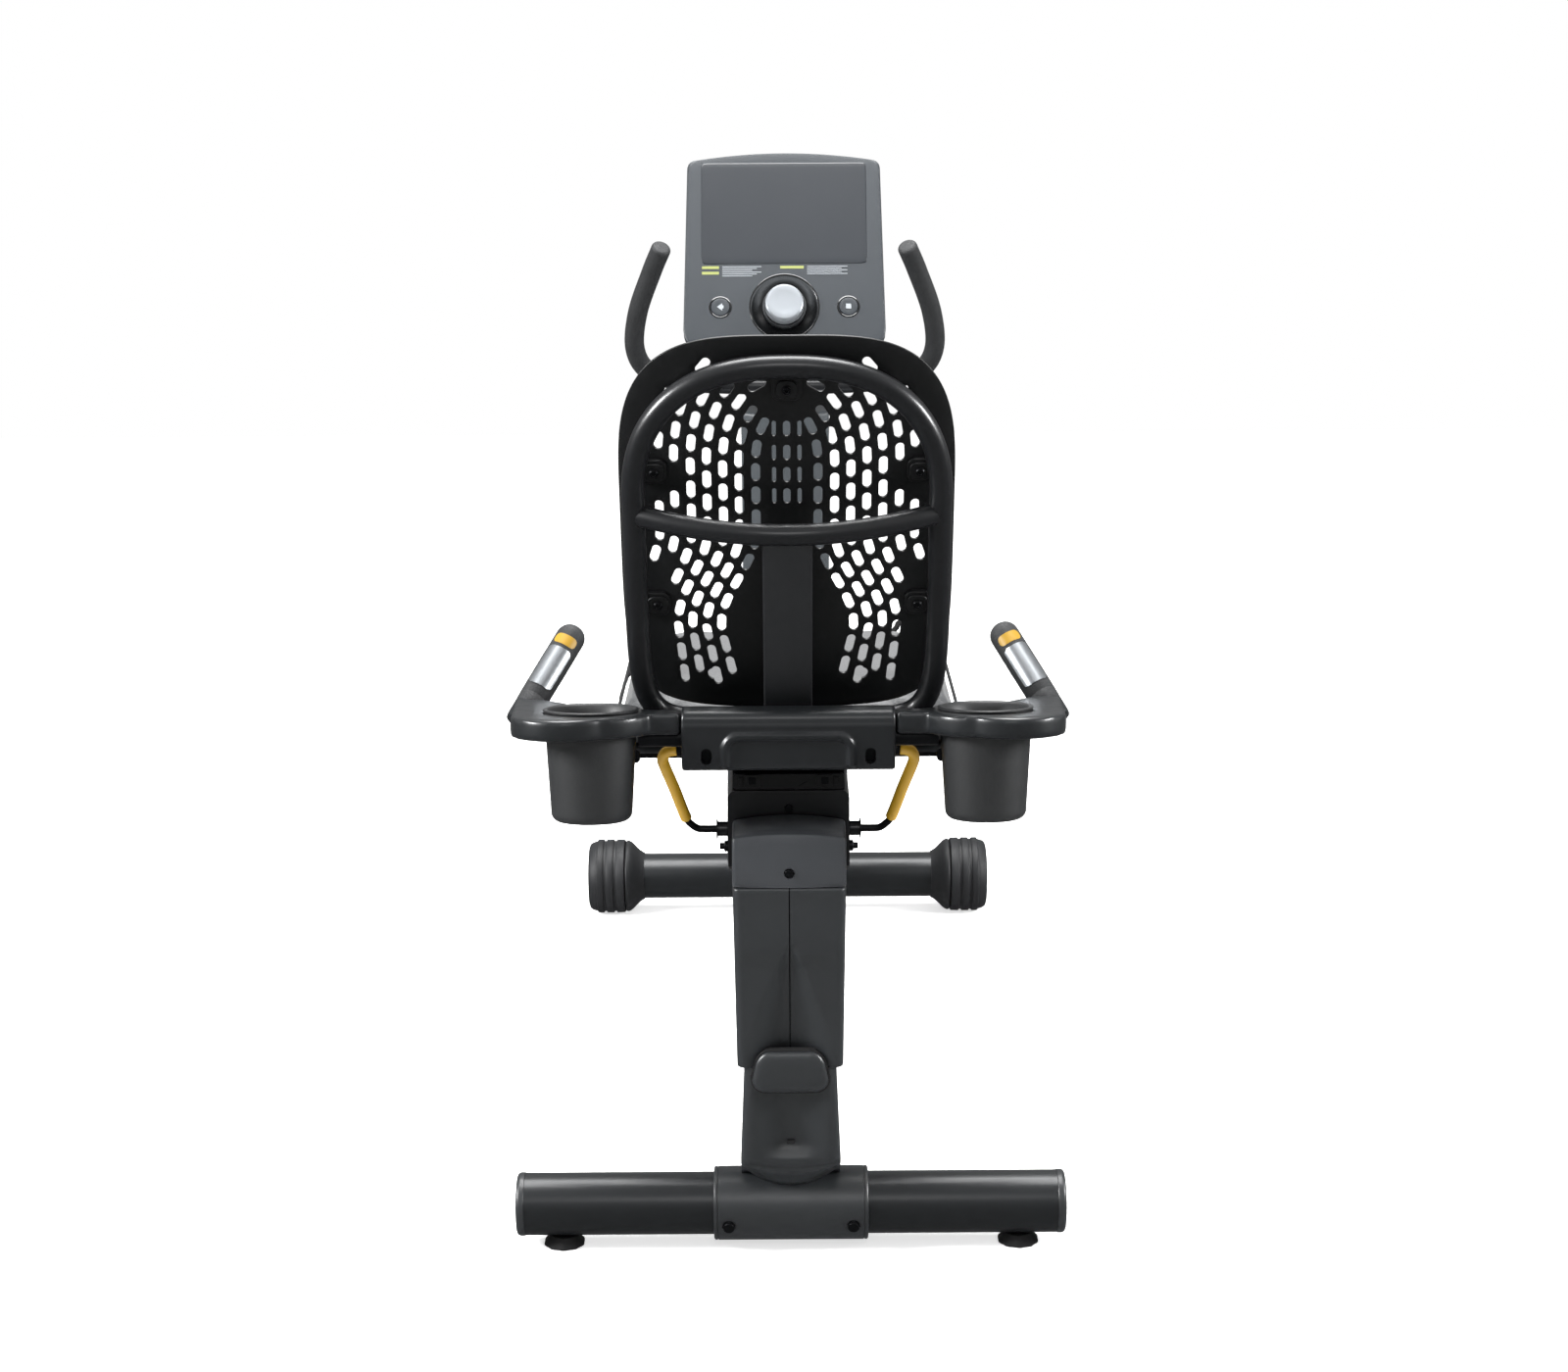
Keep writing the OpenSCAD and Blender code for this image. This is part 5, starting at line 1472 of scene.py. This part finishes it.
# %% Floor and lights
floor_size = 14.0
floor_mesh = bpy.data.meshes.new("floor")
half = floor_size / 2
floor_mesh.from_pydata([(-half, -half, 0), (half, -half, 0), (half, half, 0), (-half, half, 0)], [],
                       [(0, 1, 2, 3)])
floor = bpy.data.objects.new("floor", floor_mesh)
bpy.context.scene.collection.objects.link(floor)
white = Finish("studio_white", Roughness=0.85, Specular_IOR_Level=0.2, Emission_Color=(1, 1, 1, 1),
               Emission_Strength=0.62)
white.feed("Base Color", white.blend(white.noise(0.8, 2), paint("#f0f0f0"), paint("#f6f6f6")))
floor_mesh.materials.append(white.material)
floor.visible_glossy = False

world = bpy.data.worlds.new("studio")
world.use_nodes = True
sky_nodes = world.node_tree.nodes
sky = sky_nodes["Background"]
seen, which, either, up_there, split, height = (
    sky_nodes.new("ShaderNode" + kind)
    for kind in ("Background", "LightPath", "MixShader", "TexCoord", "SeparateXYZ", "MapRange"))
seen.inputs["Strength"].default_value = 1.0
for shade in (sky, seen):
    shade.inputs["Color"].default_value = (1, 1, 1, 1)
for socket, value in (("From Min", -0.1), ("From Max", 0.9), ("To Min", 0.15), ("To Max", 0.75)):
    height.inputs[socket].default_value = value
for source, target in ((which.outputs["Is Camera Ray"], either.inputs[0]),
                       (sky.outputs[0], either.inputs[1]),
                       (seen.outputs[0], either.inputs[2]),
                       (either.outputs[0], sky_nodes["World Output"].inputs["Surface"]),
                       (up_there.outputs["Generated"], split.inputs[0]),
                       (split.outputs["Z"], height.inputs["Value"]),
                       (height.outputs[0], sky.inputs["Strength"])):
    world.node_tree.links.new(source, target)
bpy.context.scene.world = world


def soft_light(name, where, aim, size, power):
    """A square area light at a point in metres, turned towards another."""
    data = bpy.data.lights.new(name, "AREA")
    data.size = size
    data.energy = power
    lamp = bpy.data.objects.new(name, data)
    lamp.location = where
    lamp.rotation_euler = (Vector(aim) - Vector(where)).to_track_quat("-Z", "Y").to_euler()
    bpy.context.scene.collection.objects.link(lamp)


soft_light("key", (-3.3, -1.5, 2.2), (0, 0, 0.6), 1.0, 300)
soft_light("fill", (3.4, -1.0, 1.8), (0, 0, 0.6), 1.0, 190)
soft_light("top", (0, 0.2, 3.6), (0, 0.2, 0.5), 2.2, 300)
soft_light("front", (0, -4.6, 3.0), (0, 0, 0.7), 1.2, 24)
print("floor", floor_size, "m across, four soft lights")

# %% [markdown]
# The view is from behind, a little above, about four metres off, through a slightly long lens.
# The machine fills most of the frame's height.

# %% Camera
lens = bpy.data.cameras.new("view")
lens.lens = 65.5
lens.sensor_width = 36.0
eye = bpy.data.objects.new("view", lens)
eye.location = (-0.006, -3.957, 1.434)
eye.rotation_euler = (math.radians(77.5), math.radians(0.35), math.radians(-0.1))
bpy.context.scene.collection.objects.link(eye)
bpy.context.scene.camera = eye
bpy.context.scene.view_settings.view_transform = "Standard"
print("camera", tuple(eye.location), "lens", lens.lens)
